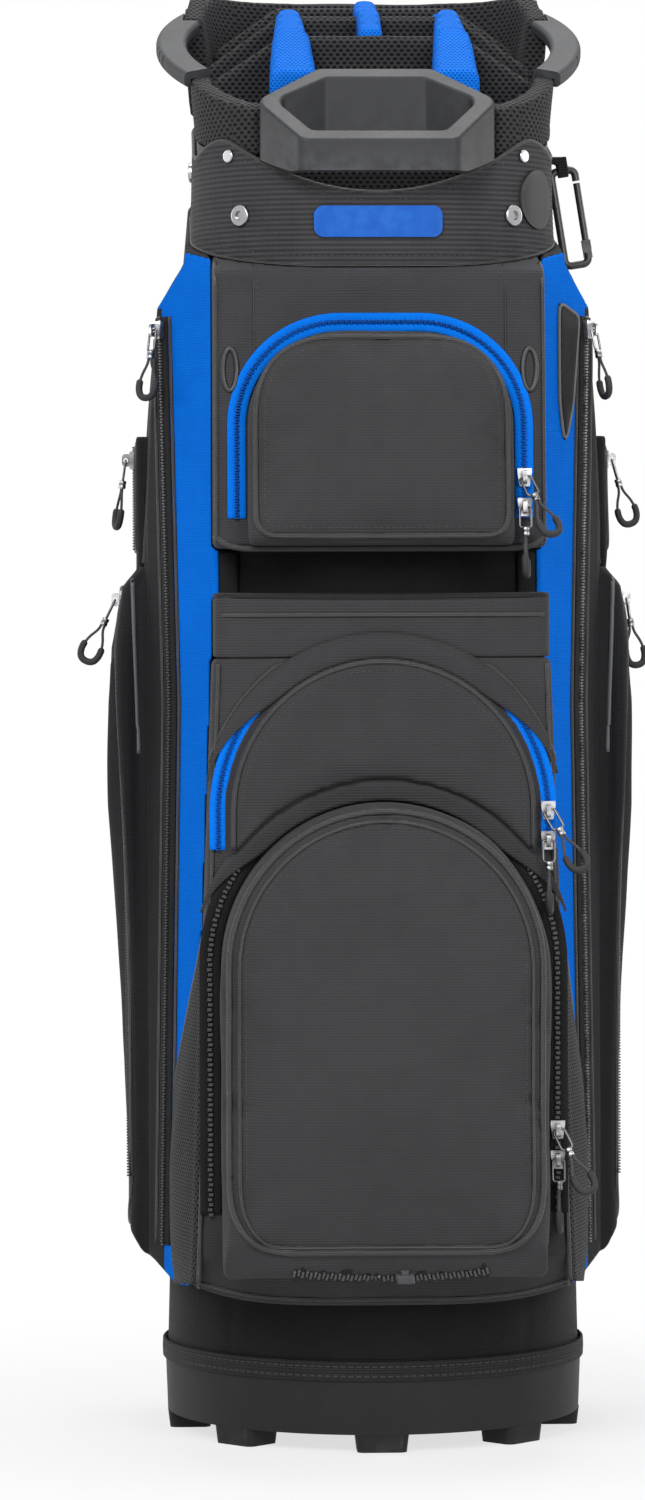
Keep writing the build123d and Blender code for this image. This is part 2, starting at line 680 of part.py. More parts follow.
crown = crown_solid(0) - crown_solid(-RIM_THICKNESS)
rim_crest = RIM_HIGH + RISE * RIM_REAR
rim_profile = (
    (RIM_FRONT, 0),
    (RIM_FRONT, RIM_HIGH + RISE * RIM_FRONT),
    (RIM_KNEE, rim_crest),
    (SPAN, rim_crest),
    (SPAN, 0),
)
rim = (crown & from_side(rim_profile, -SPAN, SPAN)) - below(COLLAR_TOP)
for piece in spines[-2:] + bars[-1:]:
    rim = rim - piece
arm = crown & box_between((-SPAN, -ARM_INNER), (-SPAN, ARM_REAR), (0, SPAN))
arm = (arm & below(ARM_HIGH, ARM_SLOPE)) - below(COLLAR_TOP) - cup_notch - nodes["cuff"]
nodes["rim_pads"] = [rim, arm, mirrored(arm)]

grip_y, grip_z = GRIP_MIDDLE
grip_rear_y = RIM_FRONT + GRIP_LAP_REAR
grip_front_y = ARM_REAR - GRIP_LAP_FRONT
grip_x = -shell_size(COLLAR_TOP)[0] / 2
grip_rear = Vector(grip_x - 1, grip_rear_y, RIM_HIGH + RISE * grip_rear_y - GRIP_SINK)
grip_front = Vector(grip_x, grip_front_y, ARM_HIGH + tan(radians(ARM_SLOPE)) * grip_front_y)
grip_path = ThreePointArc(grip_rear, (-GRIP_OUT, grip_y, grip_z), grip_front)
grip_start = Plane(origin=grip_path @ 0, x_dir=(1, 0, 0), z_dir=grip_path % 0)
grip = sweep(grip_start * RectangleRounded(GRIP_WIDTH, GRIP_THICKNESS, GRIP_THICKNESS * 0.35), path=grip_path)
for i in range(GRIP_RIB_COUNT):
    spot = grip_path @ (0.25 + 0.5 * i / (GRIP_RIB_COUNT - 1))
    groove = Cylinder(GRIP_RIB_DEPTH, 3 * GRIP_THICKNESS)
    grip = grip - Pos(spot.X - GRIP_WIDTH / 2 - GRIP_RIB_DEPTH * 0.3, spot.Y, spot.Z) * groove
grip = grip - rim - arm - crown_solid(-RIM_THICKNESS)
nodes["side_grip_left"] = grip
nodes["side_grip_right"] = mirrored(grip)

# Yoke: the padded front panel under the cuff, on a slightly leaning plane
yoke_outline = (
    (BLOCK_BACK, YOKE_BOTTOM),
    (-YOKE_BOTTOM_OUT, YOKE_BOTTOM),
    (-YOKE_TOP_OUT, CUFF_LOW),
    (BLOCK_BACK, CUFF_LOW),
)
tube_body = shell_solid(0)
yoke = from_side(yoke_outline, -YOKE_HALF, YOKE_HALF)
yoke_uprights = [e for e in yoke.edges() if abs(e.tangent_at(0.5).Z) > 0.9]
yoke = fillet([e for e in yoke_uprights if e.center().Y < -YOKE_TOP_OUT], YOKE_ROUND)
nodes["front_yoke"] = (yoke & below(CUFF_LOW - CUFF_GAP)) - tube_body
yoke_lean = degrees(atan2(YOKE_BOTTOM_OUT - YOKE_TOP_OUT, CUFF_LOW - YOKE_BOTTOM))
yoke_up = Vector(0, sin(radians(yoke_lean)), cos(radians(yoke_lean)))
yoke_plane = cloth_plane((0, -YOKE_BOTTOM_OUT, YOKE_BOTTOM), (0, -yoke_up.Z, yoke_up.Y), yoke_up)

# Upper pocket and its zip
upper_face = shouldered(UPPER_HALF, UPPER_LOW, UPPER_HEIGHT, UPPER_CORNER)
upper = extrude(yoke_plane * upper_face, UPPER_DEPTH)
front_loop = upper.faces().sort_by(Axis.Y)[0].edges()
nodes["upper_pocket"] = fillet(front_loop, UPPER_ROUND)
upper_track = UPPER_HALF + TAPE_HALF + FIT


def upper_zip_face(offset):
    reach = TAPE_HALF + FIT + offset
    return shouldered(UPPER_HALF + reach, UPPER_ZIP_LOW, UPPER_HEIGHT + reach, UPPER_CORNER + reach)


zip_upper = zip_strip(yoke_plane, upper_zip_face)

# Slip pocket: an open trough between the yoke and the middle pocket
trough = box_between((-YOKE_HALF, YOKE_HALF), (-MIDDLE_OUT, BLOCK_BACK), (MIDDLE_TOP, SLIP_TOP))
trough_front = [e for e in trough.edges().filter_by(Axis.Z) if e.center().Y < BLOCK_BACK - 1]
trough = fillet(trough_front, MIDDLE_ROUND)
hollow_half = YOKE_HALF - SLIP_WALL
hollow_floor = MIDDLE_TOP + SLIP_WALL
hollow = box_between((-hollow_half, hollow_half), (-MIDDLE_OUT + SLIP_WALL, 0), (hollow_floor, SPAN))
hollow_front = [e for e in hollow.edges().filter_by(Axis.Z) if e.center().Y < BLOCK_BACK - 1]
hollow = fillet(hollow_front, MIDDLE_ROUND - SLIP_WALL)
nodes["slip_pocket"] = trough - hollow - tube_body

# Middle pocket with its arched face, cut away where the cooler pocket sits
middle_half = YOKE_HALF + MIDDLE_LAP
middle_front = (
    (-middle_half, MIDDLE_TOP),
    (middle_half, MIDDLE_TOP),
    (MIDDLE_FOOT_HALF, POCKET_LOW),
    (-MIDDLE_FOOT_HALF, POCKET_LOW),
)
middle_side = (
    (BLOCK_BACK, MIDDLE_TOP),
    (-MIDDLE_OUT, MIDDLE_TOP),
    (-MIDDLE_OUT, POCKET_LOW + APRON_RISE),
    (-MIDDLE_OUT + APRON_STEP, POCKET_LOW),
    (BLOCK_BACK, POCKET_LOW),
)
middle = from_front(middle_front, -MIDDLE_OUT, BLOCK_BACK) & from_side(middle_side, -SPAN, SPAN)
middle_uprights = [e for e in middle.edges() if abs(e.tangent_at(0.5).Z) > 0.9]
middle = fillet([e for e in middle_uprights if abs(e.center().Y + MIDDLE_OUT) < 1], MIDDLE_ROUND)
middle_plane = cloth_plane((0, -MIDDLE_OUT, 0), (0, -1, 0), (0, 0, 1))
cooler_track = COOLER_HALF + TAPE_HALF + FIT
cooler_band = arch(cooler_track + TAPE_HALF + FIT, 0, COOLER_ARCH_HIGH)
middle_face = arch(MIDDLE_ARCH_RADIUS - TAPE_HALF - FIT, COOLER_ARCH_HIGH, MIDDLE_ARCH_HIGH)
face_pad = extrude(middle_plane * middle_face, MIDDLE_FACE_DEPTH)
pad_loop = [e for e in face_pad.faces().sort_by(Axis.Y)[0].edges() if e.center().Z > COOLER_ARCH_HIGH + 1]
face_pad = fillet(pad_loop, MIDDLE_FACE_ROUND) - extrude(middle_plane * cooler_band, 2 * MIDDLE_FACE_DEPTH)
nodes["middle_pocket"] = (middle - tube_body) + face_pad


def middle_zip_face(offset):
    return arch(MIDDLE_ARCH_RADIUS + offset, MIDDLE_ARCH_HIGH - MIDDLE_LEG, MIDDLE_ARCH_HIGH)


band_room = extrude(middle_plane * cooler_band, 2 * MIDDLE_FACE_DEPTH)
zip_middle = zip_strip(middle_plane, middle_zip_face) - band_room

# Cooler pocket: the deepest front pocket, with a heavy zip round its gusset
cooler_side = (
    (-MIDDLE_OUT, POCKET_LOW + APRON_RISE),
    (-COOLER_OUT + COOLER_FOOT_STEP, COOLER_LOW),
    (-COOLER_OUT, COOLER_LOW + COOLER_FOOT_RISE),
    (-COOLER_OUT, SPAN),
    (-MIDDLE_OUT, SPAN),
)
cooler = extrude(middle_plane * arch(COOLER_HALF, POCKET_LOW, COOLER_ARCH_HIGH), COOLER_OUT - MIDDLE_OUT)
cooler = cooler & from_side(cooler_side, -SPAN, SPAN)
cooler_front = [e for e in cooler.edges() if abs(e.center().Y + COOLER_OUT) < 0.01]
cooler_loop = [e for e in cooler_front if e.center().Z > COOLER_LOW + COOLER_FOOT_RISE + 1]
nodes["cooler_pocket"] = fillet(cooler_loop, COOLER_ROUND)


def cooler_zip_face(offset):
    return arch(cooler_track + offset, COOLER_ZIP_LEG, COOLER_ARCH_HIGH)


zip_cooler = zip_strip(middle_plane, cooler_zip_face)

# Side pockets: one block a side, whose slanted front is the blue gusset
side_roots = ((SIDE_ROOT, SIDE_BACK[1]), (SIDE_ROOT, SIDE_FRONT[1]))
side_plan = (SIDE_FRONT, SIDE_EDGE, SIDE_OUT, SIDE_REAR, SIDE_BACK) + side_roots
neck_out = shell_size(CUFF_LOW)[0] / 2 + CUFF_THICKNESS
side_front_view = (
    (SIDE_ROOT, CUFF_LOW + NECK_RISE),
    (-neck_out, CUFF_LOW + NECK_RISE),
    (-neck_out - NECK_OUT, CUFF_LOW - NECK_DROP),
    (-SHOULDER_OUT, SHOULDER_LOW),
    (-CHEST_OUT, VALUABLES_HIGH),
    (-BELLY_OUT, BELLY_HIGH),
    (-BELLY_OUT, BELLY_LOW),
    (SIDE_EDGE[0], SIDE_LOW + SIDE_FOOT_RISE),
    (SIDE_EDGE[0] + SIDE_FOOT_RISE, SIDE_LOW),
    (SIDE_ROOT, SIDE_LOW),
)
side_block = from_above(side_plan, SIDE_LOW, SPAN)
side_uprights = [e for e in side_block.edges().filter_by(Axis.Z) if e.center().X < SIDE_EDGE[0] + 0.5]
side_block = fillet([e for e in side_uprights if e.center().Y > SIDE_EDGE[1] + 1], SIDE_ROUND)
side_block = side_block & from_front(side_front_view, -SPAN, SPAN) & below(CUFF_LOW - CUFF_GAP)
side_block = side_block - tube_body - nodes["middle_pocket"] - nodes["slip_pocket"] - nodes["front_yoke"]
side_block = side_block.solids().sort_by(SortBy.VOLUME)[-1]
blue_run = Vector(SIDE_EDGE[0] - SIDE_FRONT[0], SIDE_EDGE[1] - SIDE_FRONT[1], 0).normalized()
blue_out = Vector(-blue_run.Y, blue_run.X, 0)
blue_plane = cloth_plane((SIDE_EDGE[0], SIDE_EDGE[1], 0), blue_out, (0, 0, 1))
blue_slab = extrude(blue_plane.offset(-BLUE_THICKNESS) * Rectangle(SPAN, 2 * SPAN), SPAN)
blue_left = (side_block & blue_slab).solids().sort_by(SortBy.VOLUME)[-1]
side_left = side_block - blue_slab
nodes["blue_panel_left"] = blue_left
nodes["blue_panel_right"] = mirrored(blue_left)

# Pouches on the outside of each side pocket
pouch_view = (
    (-POUCH_ROOT, POUCH_HIGH),
    (-POUCH_OUT_HIGH, POUCH_HIGH),
    (-POUCH_OUT_LOW, POUCH_LOW + POUCH_FOOT_RISE),
    (-POUCH_OUT_LOW + POUCH_FOOT_STEP, POUCH_LOW),
    (-POUCH_ROOT, POUCH_LOW),
)
pouch = from_front(pouch_view, POUCH_FRONT, POUCH_REAR)
pouch_uprights = [e for e in pouch.edges() if abs(e.tangent_at(0.5).Z) > 0.9]
pouch = fillet([e for e in pouch_uprights if e.center().X < -POUCH_OUT_LOW + 1], POUCH_ROUND) - side_block
valuables_low = POUCH_HIGH + POUCH_GAP
valuables_span = (VALUABLES_FRONT, POUCH_REAR)
valuables = box_between((-VALUABLES_OUT, -POUCH_ROOT), valuables_span, (valuables_low, VALUABLES_HIGH))
valuables_edges = [e for e in valuables.edges().filter_by(Axis.Z) if e.center().X < -VALUABLES_OUT + 1]
valuables = fillet(valuables_edges, VALUABLES_ROUND) - side_block
nodes["side_pocket_left"] = [side_left, pouch, valuables]
nodes["side_pocket_right"] = [mirrored(side_left), mirrored(pouch), mirrored(valuables)]

# Mesh pockets in the lower front corners
mesh_end = (SIDE_EDGE[0] - blue_run.X * MESH_BACK, SIDE_EDGE[1] - blue_run.Y * MESH_BACK)
mesh_run = ((-MIDDLE_FOOT_HALF + MESH_LAP, -MESH_FRONT), mesh_end)
mesh_line = Vector(mesh_run[1][0] - mesh_run[0][0], mesh_run[1][1] - mesh_run[0][1], 0)
mesh_plane = cloth_plane((mesh_run[0][0], mesh_run[0][1], 0), (-mesh_line.Y, mesh_line.X, 0), (0, 0, 1))
mesh_side = 1 if mesh_plane.x_dir.dot(mesh_line) > 0 else -1
mesh_reach = mesh_side * mesh_line.length
mesh_outline = ((0, SIDE_LOW), (mesh_reach, SIDE_LOW), (mesh_reach, MESH_HIGH - MESH_DROP), (0, MESH_HIGH))
mesh = extrude(mesh_plane * make_face(Polyline(*mesh_outline, close=True)), MESH_THICKNESS)
mesh_floor = from_above((mesh_run[0], mesh_run[1], MESH_FLOOR_ROOT), SIDE_LOW, SIDE_LOW + MESH_THICKNESS)
mesh = (mesh + mesh_floor) - nodes["middle_pocket"] - side_block - tube_body - zip_cooler
mesh = mesh.solids().sort_by(SortBy.VOLUME)[-1]
nodes["mesh_pockets"] = [mesh, mirrored(mesh)]

# Side zips: the long one on the gusset's edge, one on the pouch, one on the small upper pocket
pouch_lean = atan2(POUCH_OUT_HIGH - POUCH_OUT_LOW, POUCH_HIGH - POUCH_LOW - POUCH_FOOT_RISE)
pouch_up = Vector(-sin(pouch_lean), 0, cos(pouch_lean))
pouch_plane = cloth_plane((-POUCH_OUT_HIGH, 0, POUCH_HIGH), (-pouch_up.Z, 0, pouch_up.X), pouch_up)
small_plane = cloth_plane((-VALUABLES_OUT, VALUABLES_FRONT, VALUABLES_HIGH), (-1, 0, 0), (0, 0, 1))
blue_x = 1 if blue_plane.x_dir.dot(blue_run) > 0 else -1
long_heights = (SHOULDER_LOW - LONG_ZIP_DROP, LONG_ZIP_BELLY, SIDE_LOW + LONG_ZIP_LIFT)
long_track = [(-blue_x * inset, z) for inset, z in zip(LONG_ZIP_INSETS, long_heights)]
zip_long = straight_zip(blue_plane, long_track)
zip_pouch = straight_zip(pouch_plane, POUCH_TRACK)
zip_small = straight_zip(small_plane, SMALL_TRACK)
left_zips = [zip_long, zip_pouch, zip_small]
nodes["blue_zips"] = [zip_upper, zip_middle]
nodes["cooler_zip"] = zip_cooler
nodes["side_zips"] = left_zips + [mirrored(z) for z in left_zips]

# Zip slider: a tapered plate over the coil with a bored bridge on top
plate_low = TAPE_THICKNESS + COIL_HEIGHT + SLIDER_GAP
plate_high = plate_low + SLIDER_PLATE
slider_plan = make_face(
    Polyline(
        (-SLIDER_TAIL / 2, -SLIDER_LENGTH / 2),
        (SLIDER_TAIL / 2, -SLIDER_LENGTH / 2),
        (SLIDER_WIDTH / 2, SLIDER_LENGTH / 4),
        (SLIDER_WIDTH / 2, SLIDER_LENGTH / 2),
        (-SLIDER_WIDTH / 2, SLIDER_LENGTH / 2),
        (-SLIDER_WIDTH / 2, SLIDER_LENGTH / 4),
        close=True,
    )
)
flange_low = TAPE_THICKNESS + SLIDER_GAP
slider = extrude(Plane.XY.offset(flange_low) * slider_plan, plate_high - flange_low)
channel_size = (COIL_WIDTH + 2 * SLIDER_GAP, 2 * SLIDER_LENGTH, 2 * (plate_low - flange_low))
channel = Box(*channel_size, align=(Align.CENTER, Align.CENTER, Align.MAX))
slider = slider - Pos(0, 0, plate_low) * channel
bridge_face = Pos(0, plate_high + BRIDGE_HEIGHT / 2) * Rectangle(BRIDGE_LENGTH, BRIDGE_HEIGHT)
bridge_face = fillet(bridge_face.vertices().sort_by(Axis.Y)[-2:], BRIDGE_HEIGHT * 0.45)
pivot_height = plate_high + BRIDGE_HEIGHT / 2
bridge_face = bridge_face - Pos(0, pivot_height) * Circle(BRIDGE_BORE / 2)
slider = slider + extrude(Plane.YZ * bridge_face, BRIDGE_WIDTH / 2, both=True)


# Zip pull: wire link and crimp barrel, a cord loop and a rubber grip, hung from the pivot
def arc_radii(points):
    """Largest tangent arcs that the runs of a cord's route allow."""
    radii = []
    for a, b, c in zip(points, points[1:], points[2:]):
        run_in = Vector(*b) - Vector(*a)
        run_out = Vector(*c) - Vector(*b)
        turn = radians(run_in.get_angle(run_out))
        radii.append(0.45 * min(run_in.length, run_out.length) / tan(turn / 2))
    return radii


def round_wire(path, diameter):
    return sweep(Plane(origin=path @ 0, z_dir=path % 0) * Circle(diameter / 2), path=path)


link_low = -LINK_LENGTH
link_half = LINK_WIDTH / 2
link_corners = ((-link_half, 0), (link_half, 0), (link_half, link_low), (-link_half, link_low))
link_path = FilletPolyline(*link_corners, radius=LINK_WIRE * 1.2, close=True)
barrel_foot = Plane(origin=(0, CORD_POINTS[0][1], 0), x_dir=(1, 0, 0), z_dir=(0, 1, 0))
barrel = extrude(barrel_foot * Circle(BARREL_DIAMETER / 2), BARREL_LENGTH)
link = round_wire(link_path, LINK_WIRE) + barrel
cord_radii = arc_radii(CORD_POINTS)
cord_path = FilletPolyline(*CORD_POINTS, radius=cord_radii)
cord = round_wire(cord_path, CORD_DIAMETER)
grip_mid = (Vector(*CORD_POINTS[2]) + Vector(*CORD_POINTS[3])) / 2
grip_points = [(grip_mid.X, grip_mid.Y)] + list(CORD_POINTS[3:7]) + [(-grip_mid.X, grip_mid.Y)]
pull_grip = round_wire(FilletPolyline(*grip_points, radius=cord_radii[2:6]), PULL_GRIP_DIAMETER) - cord
print("pull cord length", round(cord_path.length, 1), "radii", [round(r, 1) for r in cord_radii])
cord_fill = cord_path.length * pi * CORD_DIAMETER**2 / 4
print("pull cord volume", round(cord.volume, 1), "section by length", round(cord_fill, 1))


def pull_at(plane, lean, twist, swing):
    """Pull hung from a slider: leaning out, swung aside, its loop turned about its own length."""
    turned = Rot(0, twist, 0)
    hang = plane * Pos(0, 0, pivot_height) * Rot(-lean, 0, 0) * Rot(0, 0, swing)
    return [hang * link, hang * turned * cord, hang * turned * pull_grip]


def along(plane, x, y, heading=0.0):
    """Frame of a slider on a cloth plane, turned about the plane's normal."""
    return plane * Pos(x, y, 0) * Rot(0, 0, heading)


long_heading = degrees(atan2(long_track[1][0] - long_track[0][0], long_track[0][1] - long_track[1][1]))
pouch_heading = degrees(atan2(POUCH_TRACK[1][0] - POUCH_TRACK[0][0], POUCH_TRACK[0][1] - POUCH_TRACK[1][1]))
middle_rest = MIDDLE_ARCH_HIGH
cooler_rest = COOLER_ZIP_LEG + COOLER_SLIDER_LIFT
upper_rest = UPPER_ZIP_LOW + UPPER_SLIDER_LIFT

long_x = long_track[0][0] + SIDE_SLIDER_DROP * tan(radians(long_heading))
pouch_x = POUCH_TRACK[0][0] + SIDE_SLIDER_DROP * tan(radians(pouch_heading))
long_rest = along(blue_plane, long_x, long_track[0][1] - SIDE_SLIDER_DROP, long_heading)
pouch_rest = along(pouch_plane, pouch_x, POUCH_TRACK[0][1] - SIDE_SLIDER_DROP, pouch_heading)
small_rest = along(small_plane, SMALL_TRACK[0][0], SMALL_TRACK[0][1] - SIDE_SLIDER_DROP)

# name, frame, lean, twist, swing, mirrored
slider_places = (
    ("upper_a", along(yoke_plane, upper_track, upper_rest), 24.0, 15.0, 22.0, False),
    ("upper_b", along(yoke_plane, upper_track, upper_rest - PAIR_PITCH), 9.0, 80.0, 0.0, False),
    ("middle_a", along(middle_plane, MIDDLE_ARCH_RADIUS, middle_rest), 24.0, 15.0, 26.0, False),
    ("middle_b", along(middle_plane, MIDDLE_ARCH_RADIUS, middle_rest - PAIR_PITCH), 9.0, 80.0, 0.0, False),
    ("cooler_a", along(middle_plane, cooler_track, cooler_rest), 24.0, 15.0, 24.0, False),
    ("cooler_b", along(middle_plane, cooler_track, cooler_rest - PAIR_PITCH), 9.0, 80.0, 0.0, False),
    ("left_long", long_rest, 9.0, 20.0, 0.0, False),
    ("left_small", small_rest, 8.0, 15.0, 0.0, False),
    ("left_pouch", pouch_rest, 26.0, 80.0, 0.0, False),
    ("right_long", long_rest, 13.0, -55.0, 0.0, True),
    ("right_small", small_rest, 16.0, 75.0, 0.0, True),
    ("right_pouch", pouch_rest, 9.0, 75.0, 0.0, True),
)
for name, place, lean, twist, swing, flip in slider_places:
    body = place * slider
    pull = pull_at(place, lean, twist, swing)
    nodes["slider_" + name] = mirrored(body) if flip else body
    nodes["pull_" + name] = [mirrored(p) for p in pull] if flip else pull

# Accessory hook: a strap loop on the right of the cuff, a wire hook and its sprung gate
hook_x = shell_x(HOOK_BACK, HOOK_HIGH, cuff_out) + HOOK_STAND
hook_bar = Vector(cos(radians(HOOK_LEAN)), 0, sin(radians(HOOK_LEAN)))
hook_plane = Plane(origin=(hook_x, HOOK_BACK, HOOK_HIGH), x_dir=hook_bar, z_dir=(0, -1, 0))
hook_points = (
    (HOOK_HALF, -GATE_TOP + HOOK_NOSE),
    (HOOK_HALF, 0),
    (-HOOK_HALF, 0),
    (-HOOK_HALF, -HOOK_LENGTH),
    (HOOK_HALF, -HOOK_LENGTH),
    (HOOK_HALF, -GATE_PIVOT - GATE_EYE / 2),
)
hook_path = FilletPolyline(*hook_points, radius=HOOK_CORNER)
pivot = Pos(HOOK_HALF, -GATE_PIVOT)
eye_root = Rectangle(GATE_EYE, GATE_EYE)
tang_disc = pivot * (Circle(GATE_EYE / 2) + Pos(0, -GATE_EYE / 2) * eye_root)
pin_hole = pivot * Circle(GATE_PIN / 2 + GATE_CLEARANCE)
tang = extrude(tang_disc - pin_hole, GATE_TANG / 2, both=True)
nodes["hook_body"] = hook_plane * (round_wire(hook_path, HOOK_WIRE) + tang)
cheek_disc = pivot * (Circle(GATE_EYE / 2) + Pos(0, GATE_EYE / 2) * eye_root)
cheek_thickness = (HOOK_WIRE - GATE_TANG) / 2 - GATE_CLEARANCE
cheek = Pos(0, 0, GATE_TANG / 2 + GATE_CLEARANCE) * extrude(cheek_disc, cheek_thickness)
gate_foot = Plane(origin=(HOOK_HALF, -GATE_PIVOT + GATE_EYE, 0), x_dir=(1, 0, 0), z_dir=(0, 1, 0))
gate_rod = extrude(gate_foot * Circle(HOOK_WIRE / 2 - GATE_CLEARANCE), GATE_PIVOT - GATE_EYE - GATE_TOP)
gate_pin = extrude(pivot * Circle(GATE_PIN / 2), GATE_TANG / 2 + cheek_thickness, both=True)
gate = gate_rod + cheek + mirror(cheek, about=Plane.XY) + gate_pin
nodes["hook_gate"] = hook_plane * gate

loop_inner = HOOK_WIRE / 2 + FIT
loop_outer = loop_inner + HOOK_STRAP_WALL
strap_face = Circle(loop_outer) + Pos(0, loop_outer) * Rectangle(2 * loop_outer, 2 * loop_outer)
strap_plane = Plane(origin=hook_plane.origin, x_dir=(0, 1, 0), z_dir=hook_plane.x_dir)
loop = extrude(strap_plane * strap_face, HOOK_STRAP_WIDTH / 2, both=True)
tab_low = HOOK_HIGH + loop_outer
tab_span = (HOOK_BACK - loop_outer, HOOK_BACK + loop_outer)
tab_root = hook_x - HOOK_STAND - HOOK_TAB_ROOT
tab = box_between((tab_root, hook_x), tab_span, (tab_low, tab_low + loop_outer))
loop = (loop + tab) - cuff_body - extrude(strap_plane * Circle(loop_inner), SPAN, both=True)
nodes["hook_strap"] = loop

# Shoulder strap on the rear: a bowed pad, two webbing ends and two wire rings in webbing tabs
strap_mid = (STRAP_LOW + STRAP_HIGH) / 2
strap_foot = shell_size(STRAP_LOW)[1] / 2 + STRAP_STAND
strap_head = shell_size(STRAP_HIGH)[1] / 2 + STRAP_STAND


def strap_arc(extra):
    middle = (strap_foot + strap_head) / 2 + STRAP_BOW + extra
    foot = (strap_foot + extra, STRAP_LOW)
    head = (strap_head + extra, STRAP_HIGH)
    return ThreePointArc(foot, (middle, strap_mid), head)


inner_arc = strap_arc(0)
outer_arc = strap_arc(STRAP_THICKNESS)
strap_lines = inner_arc + Line(inner_arc @ 1, outer_arc @ 1) + outer_arc + Line(inner_arc @ 0, outer_arc @ 0)
strap_pad = extrude(Plane.YZ * make_face(strap_lines), STRAP_WIDTH / 2, both=True)
nodes["strap_pad"] = fillet(strap_pad.edges().filter_by(Axis.X), STRAP_THICKNESS * 0.4)

ring_radius = RING_WIRE / 2
web_hole = ring_radius + FIT
web_out = web_hole + WEB_THICKNESS


def ring_at(y, z):
    half_w = RING_WIDTH / 2
    half_h = RING_HEIGHT / 2
    corners = ((-half_w, -half_h), (half_w, -half_h), (half_w, half_h), (-half_w, half_h))
    path = FilletPolyline(*corners, radius=RING_WIRE, close=True)
    return Plane(origin=(0, y, z), x_dir=(1, 0, 0), z_dir=(0, -1, 0)) * round_wire(path, RING_WIRE)


def webbing(points, bar):
    """Webbing along a (y, z) line, rolled round a ring's bar at one end."""
    flat = trace(Polyline(*points), WEB_THICKNESS)
    face = flat + Pos(*bar) * Circle(web_out)
    band = extrude(Plane.YZ * (face - Pos(*bar) * Circle(web_hole)), WEB_WIDTH / 2, both=True)
    return band


ring_top_y = shell_size(RING_TOP)[1] / 2 + web_out + FIT
ring_low_y = shell_size(RING_LOW)[1] / 2 + web_out + FIT
half_ring = RING_HEIGHT / 2
head_bar = (ring_top_y, RING_TOP - half_ring)
foot_bar = (ring_low_y, RING_LOW + half_ring)
head_tab_bar = (ring_top_y, RING_TOP + half_ring)
foot_tab_bar = (ring_low_y, RING_LOW - half_ring)
head_tail = webbing(((strap_head + WEB_LAP, STRAP_HIGH), head_bar), head_bar)
foot_tail = webbing(((strap_foot + WEB_LAP, STRAP_LOW), foot_bar), foot_bar)
head_tab = webbing(((ring_top_y - WEB_TAB_ROOT, head_tab_bar[1]), head_tab_bar), head_tab_bar)
foot_tab = webbing(((ring_low_y - WEB_TAB_ROOT, foot_tab_bar[1]), foot_tab_bar), foot_tab_bar)
bands = (head_tail, foot_tail, head_tab, foot_tab)
nodes["strap_webbing"] = [band - nodes["strap_pad"] - tube_body for band in bands]
nodes["strap_rings"] = [ring_at(ring_top_y, RING_TOP), ring_at(ring_low_y, RING_LOW)]

os.makedirs("parts", exist_ok=True)
for name, shape in nodes.items():
    if isinstance(shape, (list, tuple)):
        shape = Compound(children=[solid for part in shape for solid in part.solids()])
    export_step(shape, "parts/" + name + ".step")
print(len(nodes), "nodes")
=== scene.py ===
import bpy
import bmesh
import math
import numpy as np
from mathutils import Matrix, Vector, noise
from mathutils.bvhtree import BVHTree


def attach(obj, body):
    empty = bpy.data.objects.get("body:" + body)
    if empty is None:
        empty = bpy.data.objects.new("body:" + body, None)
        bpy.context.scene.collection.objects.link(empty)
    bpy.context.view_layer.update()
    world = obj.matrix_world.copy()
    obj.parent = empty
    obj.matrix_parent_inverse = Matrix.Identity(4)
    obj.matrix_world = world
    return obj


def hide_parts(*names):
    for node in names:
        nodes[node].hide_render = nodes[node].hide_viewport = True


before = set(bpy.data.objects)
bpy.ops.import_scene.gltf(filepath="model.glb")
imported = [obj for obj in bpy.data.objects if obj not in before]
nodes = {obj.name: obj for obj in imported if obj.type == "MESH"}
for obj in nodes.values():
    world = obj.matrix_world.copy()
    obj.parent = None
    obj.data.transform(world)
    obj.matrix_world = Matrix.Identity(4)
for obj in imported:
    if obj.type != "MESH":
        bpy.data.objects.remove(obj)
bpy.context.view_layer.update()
scene = bpy.context.scene

# Sizes of the bag in millimetres, the same as in the part's source
MM = 0.001
BOOT_HEIGHT, BOOT_RADIUS = 50.0, 131.0
THROAT_HEIGHT, THROAT_WIDTH, THROAT_DEPTH, THROAT_CORNER = 860.0, 214.0, 236.0, 70.0
FOOT_WIDTH = 260.0
FOOT_CORNER = 129.5
RISE = math.tan(math.radians(14.0))
TUBE_TOP = 778.0
CUFF_LOW, CUFF_HIGH, CUFF_FACE = 752.0, 806.0, 2.7
CUFF_PEAK, CUFF_PEAK_FRONT, CUFF_PEAK_BACK = 800.0, -88.0, -60.0
LINING_TOP = 779.0
SCOOP_LOW, SCOOP_RADIUS = 766.0, 141.0
YOKE_HALF, YOKE_BOTTOM = 101.0, 550.0
MIDDLE_OUT, MIDDLE_SPRING, COOLER_SPRING = 164.0, 392.0, 300.0
YOKE_SEAM, SLIP_TOP, COOLER_HALF = 76.0, 521.0, 97.5
PIVOT_HEIGHT = 6.8
STRAP_LOW, STRAP_HIGH = 450.0, 690.0


# Shader groups
def shader_group(name, inputs, outputs):
    tree = bpy.data.node_groups.new(name, "ShaderNodeTree")
    for label, value in inputs:
        socket = tree.interface.new_socket(label, in_out="INPUT", socket_type="NodeSocketFloat")
        socket.default_value = value
    for label in outputs:
        tree.interface.new_socket(label, in_out="OUTPUT", socket_type="NodeSocketFloat")
    return tree, tree.nodes.new("NodeGroupInput"), tree.nodes.new("NodeGroupOutput")


def math_node(tree, kind, a, b=None, c=None):
    node = tree.nodes.new("ShaderNodeMath")
    node.operation = kind
    for slot, value in enumerate((a, b, c)):
        if value is None:
            continue
        if isinstance(value, (int, float)):
            node.inputs[slot].default_value = value
        else:
            tree.links.new(value, node.inputs[slot])
    return node.outputs[0]


